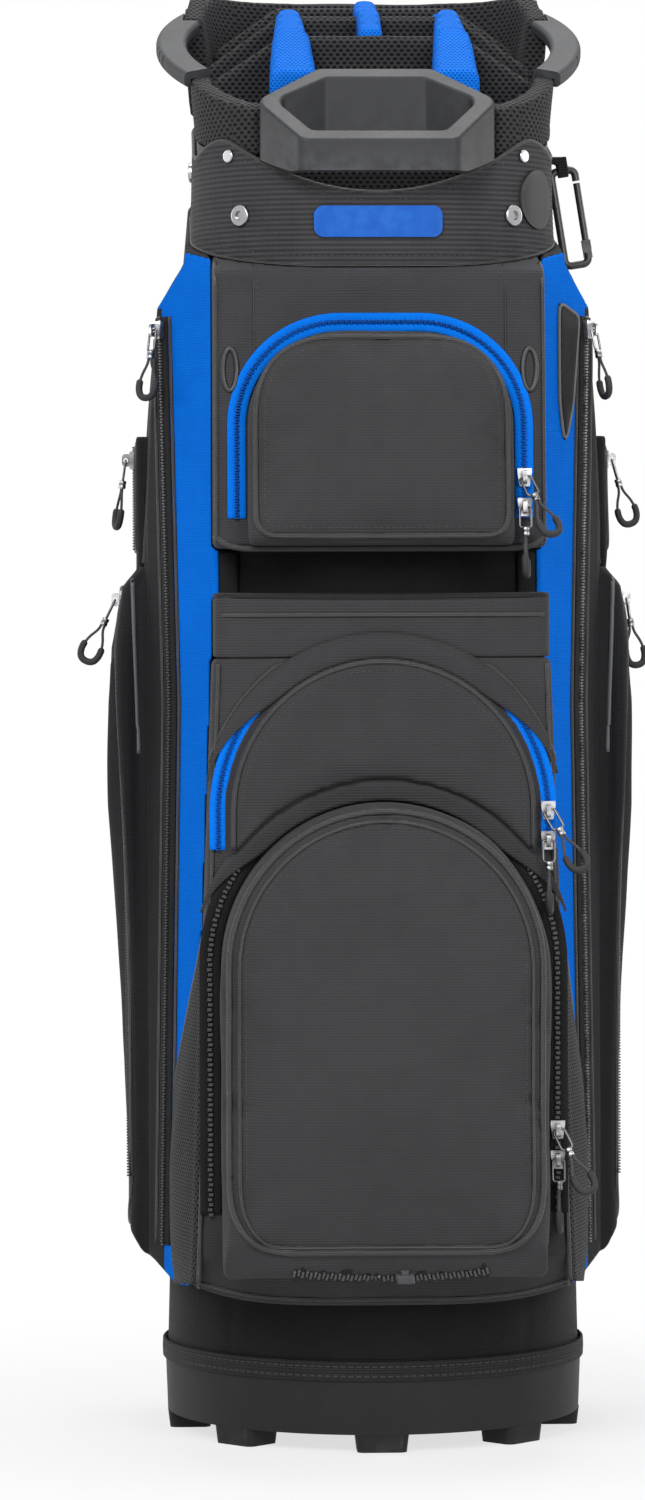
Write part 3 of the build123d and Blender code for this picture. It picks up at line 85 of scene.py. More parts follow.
def ramp_between(tree, value, low, high):
    node = tree.nodes.new("ShaderNodeMapRange")
    node.interpolation_type = "SMOOTHSTEP"
    node.inputs["From Min"].default_value = low
    node.inputs["From Max"].default_value = high
    tree.links.new(value, node.inputs["Value"])
    return node.outputs["Result"]


def cloth_directions(tree):
    """Distance across and up a piece of cloth, taken from where it faces."""
    place = tree.nodes.new("ShaderNodeTexCoord")
    split = tree.nodes.new("ShaderNodeSeparateXYZ")
    tree.links.new(place.outputs["Object"], split.inputs[0])
    facing = tree.nodes.new("ShaderNodeNewGeometry")
    turned = tree.nodes.new("ShaderNodeSeparateXYZ")
    tree.links.new(facing.outputs["Normal"], turned.inputs[0])
    side = math_node(tree, "ABSOLUTE", turned.outputs["X"])
    front = math_node(tree, "ABSOLUTE", turned.outputs["Y"])
    top = math_node(tree, "ABSOLUTE", turned.outputs["Z"])
    sideways = math_node(tree, "GREATER_THAN", side, front)
    flat = math_node(tree, "GREATER_THAN", top, 0.75)
    gap = math_node(tree, "SUBTRACT", split.outputs["Y"], split.outputs["X"])
    across = math_node(tree, "MULTIPLY_ADD", gap, sideways, split.outputs["X"])
    drop = math_node(tree, "SUBTRACT", split.outputs["Y"], split.outputs["Z"])
    up = math_node(tree, "MULTIPLY_ADD", drop, flat, split.outputs["Z"])
    return place, across, up


def wave(tree, distance, pitch):
    turns = math_node(tree, "DIVIDE", distance, pitch)
    angle = math_node(tree, "MULTIPLY", turns, 2 * math.pi)
    swing = math_node(tree, "SINE", angle)
    return math_node(tree, "MULTIPLY_ADD", swing, 0.5, 0.5)


def cloud(tree, place, scale, detail=2.0):
    node = tree.nodes.new("ShaderNodeTexNoise")
    node.inputs["Scale"].default_value = scale
    node.inputs["Detail"].default_value = detail
    tree.links.new(place.outputs["Object"], node.inputs["Vector"])
    return node.outputs["Fac"]


def make_ribbed_weave():
    """Ribbed bag cloth: crosswise ribbing, upright yarns, fuzz, slow changes of tone, and painted light and
    shade of the ribbing.
    """
    pitches = [("Rib Pitch", 0.0022), ("Yarn Pitch", 0.0011)]
    tree, given, out = shader_group("ribbed_weave", pitches, ["Height", "Rib", "Tone"])
    place, across, up = cloth_directions(tree)
    rib = wave(tree, up, given.outputs["Rib Pitch"])
    yarn = wave(tree, across, given.outputs["Yarn Pitch"])
    fuzz = cloud(tree, place, 1400.0)
    height = math_node(tree, "MULTIPLY_ADD", yarn, 0.45, rib)
    height = math_node(tree, "MULTIPLY_ADD", fuzz, 0.5, height)
    tree.links.new(height, out.inputs["Height"])
    # Rib mask: painted light on the crests and painted shade in the grooves of the ribbing and yarns
    yarn_light_and_shade = math_node(tree, "MULTIPLY_ADD", yarn, 0.5, 0.5)
    tree.links.new(math_node(tree, "MULTIPLY", rib, yarn_light_and_shade), out.inputs["Rib"])
    broad = cloud(tree, place, 9.0, 3.0)
    fine = cloud(tree, place, 70.0, 3.0)
    slow = math_node(tree, "MULTIPLY", broad, 0.65)
    tree.links.new(math_node(tree, "MULTIPLY_ADD", fine, 0.35, slow), out.inputs["Tone"])
    return tree


def make_spacer_mesh():
    """Air mesh: staggered oval holes between yarn walls."""
    tree, given, out = shader_group("spacer_mesh", [("Hole Pitch", 0.0034)], ["Hole", "Height", "Tone"])
    place, across, up = cloth_directions(tree)
    row = math_node(tree, "DIVIDE", up, math_node(tree, "MULTIPLY", given.outputs["Hole Pitch"], 0.62))
    line = math_node(tree, "FLOOR", row)
    odd = math_node(tree, "MULTIPLY", math_node(tree, "FLOORED_MODULO", line, 2.0), 0.5)
    column = math_node(tree, "ADD", math_node(tree, "DIVIDE", across, given.outputs["Hole Pitch"]), odd)
    u = math_node(tree, "SUBTRACT", math_node(tree, "FRACT", column), 0.5)
    v = math_node(tree, "SUBTRACT", math_node(tree, "FRACT", row), 0.5)
    tall = math_node(tree, "MULTIPLY", math_node(tree, "MULTIPLY", v, v), 0.7)
    reach = math_node(tree, "SQRT", math_node(tree, "MULTIPLY_ADD", u, u, tall))
    wall = ramp_between(tree, reach, 0.2, 0.38)
    # mesh_finish fills this mask of the holes with painted shade
    tree.links.new(math_node(tree, "SUBTRACT", 1.0, wall), out.inputs["Hole"])
    fuzz = cloud(tree, place, 1500.0)
    tree.links.new(math_node(tree, "MULTIPLY_ADD", fuzz, 0.25, wall), out.inputs["Height"])
    tree.links.new(cloud(tree, place, 30.0, 3.0), out.inputs["Tone"])
    return tree


def make_moulded_grain():
    """Fine spark-eroded grain of moulded plastic, with a slower mottling."""
    tree, given, out = shader_group("moulded_grain", [("Grain", 900.0)], ["Height", "Mottle"])
    place = tree.nodes.new("ShaderNodeTexCoord")
    grain = tree.nodes.new("ShaderNodeTexNoise")
    tree.links.new(place.outputs["Object"], grain.inputs["Vector"])
    tree.links.new(given.outputs["Grain"], grain.inputs["Scale"])
    tree.links.new(grain.outputs["Fac"], out.inputs["Height"])
    tree.links.new(cloud(tree, place, 26.0, 4.0), out.inputs["Mottle"])
    return tree


def make_edge_rub():
    """Paler rubbed edges."""
    tree, given, out = shader_group("edge_rub", [("Amount", 0.6)], ["Mask"])
    facing = tree.nodes.new("ShaderNodeNewGeometry")
    place = tree.nodes.new("ShaderNodeTexCoord")
    edge = ramp_between(tree, facing.outputs["Pointiness"], 0.53, 0.62)
    broken = math_node(tree, "MULTIPLY", edge, ramp_between(tree, cloud(tree, place, 120.0, 3.0), 0.3, 0.65))
    tree.links.new(math_node(tree, "MULTIPLY", broken, given.outputs["Amount"]), out.inputs["Mask"])
    return tree


def make_lint():
    """Faint dust and lint on what faces up."""
    tree, given, out = shader_group("lint", [("Amount", 0.1)], ["Mask"])
    facing = tree.nodes.new("ShaderNodeNewGeometry")
    turned = tree.nodes.new("ShaderNodeSeparateXYZ")
    tree.links.new(facing.outputs["Normal"], turned.inputs[0])
    place = tree.nodes.new("ShaderNodeTexCoord")
    upward = ramp_between(tree, turned.outputs["Z"], -0.2, 1.0)
    specks = ramp_between(tree, cloud(tree, place, 240.0, 4.0), 0.45, 0.75)
    film = math_node(tree, "MULTIPLY_ADD", specks, 0.6, 0.25)
    lying = math_node(tree, "MULTIPLY", upward, film)
    tree.links.new(math_node(tree, "MULTIPLY", lying, given.outputs["Amount"]), out.inputs["Mask"])
    return tree


RIBBED_WEAVE = make_ribbed_weave()
SPACER_MESH = make_spacer_mesh()
MOULDED_GRAIN = make_moulded_grain()
EDGE_RUB = make_edge_rub()
LINT = make_lint()


# Finishes
CLOTH_DUST, PLASTIC_DUST, BARE_EDGE = (0.4, 0.4, 0.42), (0.35, 0.35, 0.36), (0.75, 0.75, 0.77)


def new_finish(name, roughness):
    finish = bpy.data.materials.new(name)
    finish.use_nodes = True
    shader = finish.node_tree.nodes["Principled BSDF"]
    shader.inputs["Roughness"].default_value = roughness
    return finish, finish.node_tree, shader


def place_group(tree, group, **values):
    node = tree.nodes.new("ShaderNodeGroup")
    node.node_tree = group
    for label, value in values.items():
        node.inputs[label.replace("_", " ")].default_value = value
    return node


def blend_colour(tree, mask, a, b):
    node = tree.nodes.new("ShaderNodeMix")
    node.data_type = "RGBA"
    tree.links.new(mask, node.inputs["Factor"])
    for slot, colour in (("A", a), ("B", b)):
        socket = [s for s in node.inputs if s.name == slot and s.type == "RGBA"][0]
        if isinstance(colour, tuple):
            socket.default_value = (*colour, 1.0)
        else:
            tree.links.new(colour, socket)
    return [s for s in node.outputs if s.type == "RGBA"][0]


def add_bump(tree, shader, height, depth, strength):
    node = tree.nodes.new("ShaderNodeBump")
    node.inputs["Distance"].default_value = depth
    node.inputs["Strength"].default_value = strength
    tree.links.new(height, node.inputs["Height"])
    tree.links.new(node.outputs["Normal"], shader.inputs["Normal"])


def spread(tree, value, low, high):
    node = tree.nodes.new("ShaderNodeMapRange")
    node.inputs["To Min"].default_value = low
    node.inputs["To Max"].default_value = high
    tree.links.new(value, node.inputs["Value"])
    return node.outputs["Result"]


def cloth_finish(
        name, dark, pale, rib, yarn, depth=0.0003, rough=(0.62, 0.82), sheen=0.04, lint=0.03, gloss=0.15):
    finish, tree, shader = new_finish(name, rough[1])
    weave = place_group(tree, RIBBED_WEAVE, Rib_Pitch=rib, Yarn_Pitch=yarn)
    # Painted light and shade of the weave: pale colour on the crests, dark colour in the grooves
    rib_light_and_shade = blend_colour(tree, weave.outputs["Rib"], dark, pale)
    shade = math_node(tree, "MULTIPLY", ramp_between(tree, weave.outputs["Tone"], 0.3, 0.75), 0.45)
    toned = blend_colour(tree, shade, rib_light_and_shade, tuple(c * 0.8 for c in dark))
    dust = place_group(tree, LINT, Amount=lint)
    dusty = blend_colour(tree, dust.outputs["Mask"], toned, CLOTH_DUST)
    tree.links.new(dusty, shader.inputs["Base Color"])
    tree.links.new(spread(tree, weave.outputs["Tone"], *rough), shader.inputs["Roughness"])
    add_bump(tree, shader, weave.outputs["Height"], depth, 0.7)
    shader.inputs["Sheen Weight"].default_value = sheen
    shader.inputs["Sheen Roughness"].default_value = 0.45
    shader.inputs["Specular IOR Level"].default_value = gloss
    return finish


def mesh_finish(name, yarn, hole_shade, pitch, sheen=0.05):
    finish, tree, shader = new_finish(name, 0.8)
    net = place_group(tree, SPACER_MESH, Hole_Pitch=pitch)
    toned = blend_colour(tree, net.outputs["Tone"], yarn, tuple(c * 0.7 for c in yarn))
    # Painted shade: the holes show the backing, painted darker as shade down in the holes
    tree.links.new(blend_colour(tree, net.outputs["Hole"], toned, hole_shade), shader.inputs["Base Color"])
    tree.links.new(spread(tree, net.outputs["Hole"], 0.68, 0.95), shader.inputs["Roughness"])
    add_bump(tree, shader, net.outputs["Height"], 0.0009, 0.9)
    shader.inputs["Sheen Weight"].default_value = sheen
    shader.inputs["Specular IOR Level"].default_value = 0.15
    return finish


def moulded_finish(
        name, colour, rubbed, rough=(0.42, 0.58), grain=900.0, rub=0.5, depth=0.00012, gloss=0.5):
    finish, tree, shader = new_finish(name, rough[1])
    skin = place_group(tree, MOULDED_GRAIN, Grain=grain)
    edges = place_group(tree, EDGE_RUB, Amount=rub)
    dust = place_group(tree, LINT, Amount=0.06)
    mottled = blend_colour(tree, skin.outputs["Mottle"], colour, tuple(c * 0.78 for c in colour))
    worn = blend_colour(tree, edges.outputs["Mask"], mottled, rubbed)
    dusty = blend_colour(tree, dust.outputs["Mask"], worn, PLASTIC_DUST)
    tree.links.new(dusty, shader.inputs["Base Color"])
    tree.links.new(spread(tree, skin.outputs["Mottle"], *rough), shader.inputs["Roughness"])
    add_bump(tree, shader, skin.outputs["Height"], depth, 0.6)
    shader.inputs["Specular IOR Level"].default_value = gloss
    return finish


def metal_finish(name, colour, dull, rough=(0.24, 0.42)):
    finish, tree, shader = new_finish(name, rough[1])
    skin = place_group(tree, MOULDED_GRAIN, Grain=2600.0)
    edges = place_group(tree, EDGE_RUB, Amount=0.7)
    mottled = blend_colour(tree, skin.outputs["Mottle"], colour, dull)
    worn = blend_colour(tree, edges.outputs["Mask"], mottled, BARE_EDGE)
    tree.links.new(worn, shader.inputs["Base Color"])
    tree.links.new(spread(tree, skin.outputs["Mottle"], *rough), shader.inputs["Roughness"])
    add_bump(tree, shader, skin.outputs["Height"], 0.00004, 0.4)
    shader.inputs["Metallic"].default_value = 1.0
    return finish


# Each cloth's dark and pale colours are its weave's painted groove shade and painted crest light
POCKET_CLOTH = cloth_finish("pocket_cloth", (0.031, 0.0305, 0.0325), (0.047, 0.0462, 0.049), 0.0017, 0.0011)
YOKE_CLOTH = cloth_finish("yoke_cloth", (0.031, 0.0312, 0.0345), (0.047, 0.0474, 0.052), 0.0017, 0.0011)
SIDE_CLOTH = cloth_finish(
    "side_pocket_cloth", (0.0085, 0.0088, 0.0098), (0.016, 0.0165, 0.0185), 0.0013, 0.0013)
TUBE_CLOTH = cloth_finish("tube_cloth", (0.004, 0.004, 0.0043), (0.009, 0.009, 0.0095), 0.0013, 0.0013)
CUFF_CLOTH = cloth_finish(
    "cuff_cloth", (0.0245, 0.0243, 0.0262), (0.072, 0.0711, 0.0764), 0.0031, 0.0013, depth=0.0005)
BLUE_CLOTH = cloth_finish(
    "blue_gusset_cloth", (0.0, 0.135, 0.63), (0.0, 0.165, 0.77), 0.0016, 0.0012,
    sheen=0.0, lint=0.0, gloss=0.05)
BLUE_TAPE = cloth_finish(
    "blue_zip_tape", (0.0, 0.145, 0.68), (0.0, 0.21, 0.92), 0.0012, 0.0009, sheen=0.0, lint=0.0, gloss=0.08)
BLACK_TAPE = cloth_finish("black_zip_tape", (0.006, 0.006, 0.0065), (0.016, 0.016, 0.017), 0.0012, 0.0009)
WEBBING = cloth_finish("webbing", (0.009, 0.009, 0.0098), (0.03, 0.03, 0.032), 0.0017, 0.0024, depth=0.0004)
PIPING_CLOTH = cloth_finish(
    "piping_cloth", (0.01, 0.01, 0.011), (0.026, 0.026, 0.028), 0.0009, 0.0009, rough=(0.38, 0.52), gloss=0.5)
STITCH_THREAD = cloth_finish("stitch_thread", (0.05, 0.05, 0.052), (0.1, 0.1, 0.104), 0.0006, 0.0006)
LINING = cloth_finish("divider_lining", (0.008, 0.008, 0.0085), (0.016, 0.016, 0.017), 0.0011, 0.0011)
# The second colour of each mesh is painted shade in its holes
BLACK_MESH = mesh_finish("black_air_mesh", (0.03, 0.0305, 0.033), (0.003, 0.003, 0.0032), 0.0042)
FINE_MESH = mesh_finish("corner_pocket_mesh", (0.022, 0.022, 0.024), (0.002, 0.002, 0.002), 0.0036)
BLUE_MESH = mesh_finish("blue_air_mesh", (0.0, 0.2, 0.9), (0.0, 0.09, 0.46), 0.0026, 0.0)
HANDLE_PLASTIC = moulded_finish("handle_plastic", (0.026, 0.027, 0.0292), (0.07, 0.0715, 0.075), gloss=0.24)
GRIP_PLASTIC = moulded_finish(
    "side_grip_plastic", (0.036, 0.0371, 0.0396), (0.085, 0.086, 0.089), rough=(0.48, 0.62), gloss=0.3)
BOOT_PLASTIC = moulded_finish(
    "boot_plastic", (0.0115, 0.0117, 0.0125), (0.042, 0.042, 0.0445), rough=(0.5, 0.66),
    grain=600.0, rub=0.7, depth=0.0002, gloss=0.22)
COLLAR_PLASTIC = moulded_finish("collar_plastic", (0.02, 0.02, 0.021), (0.06, 0.06, 0.063), gloss=0.25)
HOOK_PLASTIC = moulded_finish("hook_plastic", (0.024, 0.0245, 0.026), (0.1, 0.1, 0.105), rough=(0.3, 0.44))
PULL_RUBBER = moulded_finish(
    "pull_rubber", (0.026, 0.0265, 0.028), (0.06, 0.06, 0.063), rough=(0.55, 0.7), rub=0.3, gloss=0.25)
EYELET_RUBBER = moulded_finish("eyelet_rubber", (0.01, 0.01, 0.011), (0.04, 0.04, 0.042), rough=(0.35, 0.5))
TOOTH_PLASTIC = moulded_finish(
    "zip_tooth_plastic", (0.05, 0.051, 0.055), (0.2, 0.2, 0.21), rough=(0.28, 0.42), rub=0.8)
BLUE_TOOTH = moulded_finish(
    "blue_zip_tooth", (0.0, 0.06, 0.3), (0.01, 0.22, 0.8), rough=(0.35, 0.5), gloss=0.2)
SLIDER_METAL = metal_finish("slider_metal", (0.18, 0.18, 0.187), (0.075, 0.075, 0.078))
STUD_METAL = metal_finish("stud_metal", (0.5, 0.5, 0.51), (0.26, 0.26, 0.27), rough=(0.16, 0.3))
ROD_METAL = metal_finish("stay_rod_metal", (0.6, 0.6, 0.62), (0.42, 0.42, 0.44))
# Dark and pale colours: painted shade and painted light of the braid
PULL_CORD = cloth_finish(
    "pull_cord_braid", (0.035, 0.035, 0.037), (0.12, 0.12, 0.125), 0.0011, 0.0008, depth=0.0002)
REFLECTIVE = moulded_finish(
    "reflective_welt", (0.11, 0.113, 0.118), (0.17, 0.173, 0.178), rough=(0.5, 0.65), rub=0.3)


def badge_finish():
    """Bare patch: blue at the front of the cuff, black on its right."""
    finish, tree, shader = new_finish("bare_badge_rubber", 0.45)
    skin = place_group(tree, MOULDED_GRAIN, Grain=1400.0)
    edges = place_group(tree, EDGE_RUB, Amount=0.5)
    place = tree.nodes.new("ShaderNodeTexCoord")
    split = tree.nodes.new("ShaderNodeSeparateXYZ")
    tree.links.new(place.outputs["Object"], split.inputs[0])
    right = math_node(tree, "GREATER_THAN", split.outputs["X"], 0.06)
    plain = blend_colour(tree, right, (0.0, 0.085, 0.42), (0.008, 0.008, 0.009))
    deep = blend_colour(tree, right, (0.0, 0.07, 0.36), (0.012, 0.012, 0.013))
    mottled = blend_colour(tree, skin.outputs["Mottle"], plain, deep)
    worn = blend_colour(tree, right, (0.02, 0.16, 0.6), (0.05, 0.05, 0.052))
    tree.links.new(blend_colour(tree, edges.outputs["Mask"], mottled, worn), shader.inputs["Base Color"])
    tree.links.new(spread(tree, skin.outputs["Mottle"], 0.35, 0.55), shader.inputs["Roughness"])
    add_bump(tree, shader, skin.outputs["Height"], 0.00012, 0.6)
    shader.inputs["Specular IOR Level"].default_value = 0.2
    return finish


BADGE_RUBBER = badge_finish()


# Mesh helpers
def wear(mesh, finishes):
    for finish in finishes if isinstance(finishes, (list, tuple)) else [finishes]:
        mesh.materials.append(finish)


def hung(name, mesh, body):
    """The mesh as a piece that moves with a body."""
    piece = bpy.data.objects.new(name, mesh)
    scene.collection.objects.link(piece)
    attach(piece, body)
    return piece


def new_piece(name, points, faces, finishes, body="bag", face_finish=None, smooth=True):
    """Mesh piece from points in millimetres."""
    mesh = bpy.data.meshes.new(name)
    mesh.from_pydata([tuple(c * MM for c in p) for p in points], [], faces)
    wear(mesh, finishes)
    for i, face in enumerate(mesh.polygons):
        face.use_smooth = smooth
        if face_finish is not None:
            face.material_index = face_finish[i]
    mesh.update()
    return hung(name, mesh, body)


def thicken(piece, thickness, offset):
    """Gives cloth its thickness in millimetres: inwards at -1, both ways at 0."""
    wall = piece.modifiers.new("wall", "SOLIDIFY")
    wall.thickness = thickness * MM
    wall.offset = offset


def strip_faces(rows, columns, wrap_rows=False, wrap_columns=False):
    """Four-sided faces between rows of points."""
    faces = []
    for i in range(rows if wrap_rows else rows - 1):
        here, above = i * columns, (i + 1) % rows * columns
        for j in range(columns if wrap_columns else columns - 1):
            ahead = (j + 1) % columns
            faces.append((here + j, here + ahead, above + ahead, above + j))
    return faces


def mirrored(p, flip):
    return Vector((-p.x, p.y, p.z)) if flip else p


def around(count):
    """Angles of a full turn in equal steps."""
    return np.linspace(0, 2 * math.pi, count + 1)[:-1]


class Cloth_Plane:
    """A face of cloth: x across, y up it, out away from it, as in the part's source."""

    def __init__(self, origin, out, up, flip=False):
        out, up = Vector(out).normalized(), Vector(up).normalized()
        self.matrix = Matrix.Identity(4)
        for column, axis in enumerate((up.cross(out), up, out)):
            for row in range(3):
                self.matrix[row][column] = axis[row]
        for row in range(3):
            self.matrix[row][3] = origin[row]
        self.flip = flip

    def at(self, x, y, out=0.0):
        return mirrored(self.matrix @ Vector((x, y, out)), self.flip)

    def out(self):
        return mirrored(self.matrix.to_3x3() @ Vector((0, 0, 1)), self.flip)


def sided(plane, flip):
    """The plane itself on the left, its mirror image on the right."""
    if not flip:
        return plane
    twin = Cloth_Plane((0, 0, 0), (0, -1, 0), (0, 0, 1), True)
    twin.matrix = plane.matrix
    return twin


yoke_lean = math.atan2(15.0, 202.0)
yoke_up = Vector((0, math.sin(yoke_lean), math.cos(yoke_lean)))
YOKE_PLANE = Cloth_Plane((0, -146.0, YOKE_BOTTOM), (0, -yoke_up.z, yoke_up.y), yoke_up)
MIDDLE_PLANE = Cloth_Plane((0, -MIDDLE_OUT, 0), (0, -1, 0), (0, 0, 1))
blue_run = Vector((-41.0, 61.0, 0)).normalized()
BLUE_PLANE = Cloth_Plane((-141.0, -40.0, 0), (-blue_run.y, blue_run.x, 0), (0, 0, 1))
pouch_lean = math.atan2(2.0, 414.0)
pouch_up = Vector((-math.sin(pouch_lean), 0, math.cos(pouch_lean)))
POUCH_PLANE = Cloth_Plane((-154.0, 0, 540.0), (-pouch_up.z, 0, pouch_up.x), pouch_up)
SMALL_PLANE = Cloth_Plane((-147.0, -22.0, 622.0), (-1, 0, 0), (0, 0, 1))


def arch_line(half, low, spring, steps=48):
    """Open arch of (x, y) points with upright legs, from right to left."""
    line = [(half, low + (spring - low) * i / 12) for i in range(12)]
    turns = [math.pi * i / steps for i in range(steps + 1)]
    line += [(half * math.cos(t), spring + half * math.sin(t)) for t in turns]
    return line + [(-half, spring - (spring - low) * i / 12) for i in range(1, 13)]


def rounded_line(corners, radii, steps=8):
    """Closed outline of (x, y) corners, each rounded by its radius."""
    line = []
    count = len(corners)
    for i in range(count):
        here = Vector(corners[i])
        back = (Vector(corners[i - 1]) - here).normalized()
        ahead = (Vector(corners[(i + 1) % count]) - here).normalized()
        half = math.acos(max(-1, min(1, back.dot(ahead)))) / 2
        reach = radii[i] / math.tan(half)
        start, end = here + back * reach, here + ahead * reach
        for k in range(steps + 1):
            t = k / steps
            line.append(tuple(start * (1 - t) ** 2 + here * 2 * t * (1 - t) + end * t**2))
    return line


def even_line(line, pitch, closed=False):
    """The same line with points an even pitch apart."""
    points = np.array(line + line[:1] if closed else line, float)
    lengths = np.concatenate([[0], np.cumsum(np.linalg.norm(np.diff(points, axis=0), axis=1))])
    count = max(2, int(round(lengths[-1] / pitch)))
    marks = np.linspace(0, lengths[-1], count + 1)
    if closed:
        marks = marks[:-1]
    return [tuple(np.interp(m, lengths, points[:, k]) for k in range(points.shape[1])) for m in marks]


def run_frames(points, outs, closed=False):
    """Along, across and out directions at each point of a line."""
    count = len(points)
    frames = []
    for i, point in enumerate(points):
        before = points[i - 1] if closed or i > 0 else point
        after = points[(i + 1) % count] if closed or i < count - 1 else point
        along = (after - before).normalized()
        out = outs[i] - along * outs[i].dot(along)
        out.normalize()
        frames.append((along, along.cross(out), out))
    return frames


def turned_faces(rows, columns):
    """Faces of rings of points one after the other, with both ends closed."""
    last = rows * columns
    ends = [tuple(reversed(range(columns))), tuple(range(last - columns, last))]
    return strip_faces(rows, columns, False, True) + ends


def swept(points, outs, profile, closed=False):
    """Points and faces of a closed profile of (across, out) carried along a line."""
    shape = []
    for point, (_, across, out) in zip(points, run_frames(points, outs, closed)):
        shape += [point + across * a + out * o for a, o in profile]
    size = len(profile)
    faces = strip_faces(len(points), size, True, True) if closed else turned_faces(len(points), size)
    return shape, faces


def round_profile(radius, steps=8, squash=1.0):
    return [(radius * math.cos(t), radius * squash * math.sin(t)) for t in around(steps)]


def gather(parts):
    """Several (mark, (points, faces)) shapes as one, with a mark for each face."""
    points, faces, marks = [], [], []
    for mark, (shape, sides) in parts:
        start = len(points)
        points += shape
        faces += [tuple(start + v for v in face) for face in sides]
        marks += [mark] * len(sides)
    return points, faces, marks


def chain_of(points, outs, make_one):
    """One small shape at each point of a line."""
    frames = run_frames(points, outs)
    return [make_one(i, point, axes) for i, (point, axes) in enumerate(zip(points, frames))]


def small_block(point, axes, along, across, low, high, shift=0.0, bevel=0.3):
    """Block with a bevelled top, for teeth and stitches."""
    a, c, o = axes
    shape = []
    for level, inset in ((low, 0.0), (high - bevel, 0.0), (high, bevel)):
        for s, t in ((-1, -1), (1, -1), (1, 1), (-1, 1)):
            sideways = shift + t * (across / 2 - inset)
            shape.append(point + a * s * (along / 2 - inset) + c * sideways + o * level)
    faces = strip_faces(3, 4, False, True)
    return shape, faces + [(3, 2, 1, 0), (8, 9, 10, 11)]


def lay_on(plane, line, over, lift=0.0, start=60.0, default=None):
    """Points of a line on a plane, moved along the plane's normal on to the pieces it lies on."""
    out = plane.out()
    points, outs = [], []
    for x, y in line:
        begin = plane.at(x, y, start)
        best = None
        for tree in over:
            hit, normal, _, distance = tree.ray_cast(begin * MM, -out)
            if hit is not None and (best is None or distance < best[1]):
                best = (hit / MM, distance, normal)
        if best is None:
            if default is None:
                continue
            best = (plane.at(x, y, default), 0, out)
        points.append(best[0] + out * lift)
        outs.append((out * 0.35 + best[2]).normalized())
    return points, outs


def surface_of(*pieces):
    """Trees to find where lines meet the pieces."""
    trees = []
    for piece in pieces:
        spots = [v.co.copy() for v in piece.data.vertices]
        trees.append(BVHTree.FromPolygons(spots, [tuple(p.vertices) for p in piece.data.polygons]))
    return trees


def smoothed_line(points, rounds, closed=False):
    for _ in range(rounds):
        count = len(points)
        moved = []
        for i in range(count):
            if not closed and i in (0, count - 1):
                moved.append(points[i])
            else:
                moved.append((points[i - 1] + points[i] * 2 + points[(i + 1) % count]) / 4)
        points = moved
    return points


def piping(name, points, outs, radius=1.5, closed=False, finish=None):
    points = smoothed_line(points, 3, closed)
    shape, faces = swept(points, outs, round_profile(radius, 8), closed)
    return new_piece(name, shape, faces, finish or PIPING_CLOTH)


def even_spots(points, outs, pitch):
    """Points an even pitch apart along a line, each with the outward direction near it."""
    spots = [Vector(p) for p in even_line([tuple(p) for p in points], pitch)]
    count, last = len(spots), len(outs) - 1
    return spots, [outs[min(last, int(i * len(outs) / count))] for i in range(count)]


def stitching(name, points, outs, length=2.6, gap=1.3, width=0.6, height=0.35):
    spots, normals = even_spots(points, outs, length + gap)

    def one(i, point, axes):
        return small_block(point, axes, length, width, -0.3, height, 0, 0.25)

    shape, faces, _ = gather([(0, stitch) for stitch in chain_of(spots, normals, one)])
    return new_piece(name, shape, faces, STITCH_THREAD)


def laid_piping(name, plane, line, over, lift, radius, closed=False, start=60.0):
    points, outs = lay_on(plane, line, over, lift, start)
    return piping(name, points, outs, radius, closed)


def laid_stitches(name, plane, line, over, *sizes):
    points, outs = lay_on(plane, line, over)
    return stitching(name, points, outs, *sizes)


# Sewn pieces from the solids' space
def solid_pieces(node):
    """The closed solids of a node as separate (points, faces) meshes, largest first."""
    work = bmesh.new()
    work.from_mesh(nodes[node].data)
    bmesh.ops.remove_doubles(work, verts=work.verts, dist=1e-6)
    seen, found = set(), []
    for first in work.verts:
        if first in seen:
            continue
        group, heap = [], [first]
        seen.add(first)
        while heap:
            v = heap.pop()
            group.append(v)
            for e in v.link_edges:
                w = e.other_vert(v)
                if w not in seen:
                    seen.add(w)
                    heap.append(w)
        index = {v: i for i, v in enumerate(group)}
        sides = {f for v in group for f in v.link_faces}
        faces = sorted(tuple(index[v] for v in f.verts) for f in sides)
        found.append(([v.co.copy() for v in group], faces))
    work.free()
    return sorted(found, key=lambda solid: -np.prod(np.ptp(np.array(solid[0]), axis=0)))


def evaluated_mesh(piece):
    ready = piece.evaluated_get(bpy.context.evaluated_depsgraph_get())
    return bpy.data.meshes.new_from_object(ready)


def rounded_mesh(points, faces, voxel, rounds):
    """Closed even mesh of a solid with its edges rounded."""
    mesh = bpy.data.meshes.new("pattern")
    mesh.from_pydata([tuple(p) for p in points], [], faces)
    pattern = bpy.data.objects.new("pattern", mesh)
    scene.collection.objects.link(pattern)
    grid = pattern.modifiers.new("grid", "REMESH")
    grid.mode = "VOXEL"
    grid.voxel_size = voxel * MM
    if rounds:
        ease = pattern.modifiers.new("ease", "SMOOTH")
        ease.factor = 0.5
        ease.iterations = rounds
    result = evaluated_mesh(pattern)
    bpy.data.objects.remove(pattern)
    bpy.data.meshes.remove(mesh)
    return result


def pattern_of(node, voxel, rounds):
    """Rounded mesh of a node's solid, with its points and outward directions."""
    mesh = rounded_mesh(*solid_pieces(node)[0], voxel, rounds)
    return mesh, mesh_points(mesh), mesh_normals(mesh)


def mesh_points(mesh):
    flat = np.zeros(len(mesh.vertices) * 3)
    mesh.vertices.foreach_get("co", flat)
    return flat.reshape(-1, 3) / MM


def mesh_normals(mesh):
    flat = np.zeros(len(mesh.vertices) * 3)
    mesh.vertices.foreach_get("normal", flat)
    return flat.reshape(-1, 3)


def set_points(mesh, points):
    mesh.vertices.foreach_set("co", (points * MM).astype(np.float32).ravel())
    mesh.update()


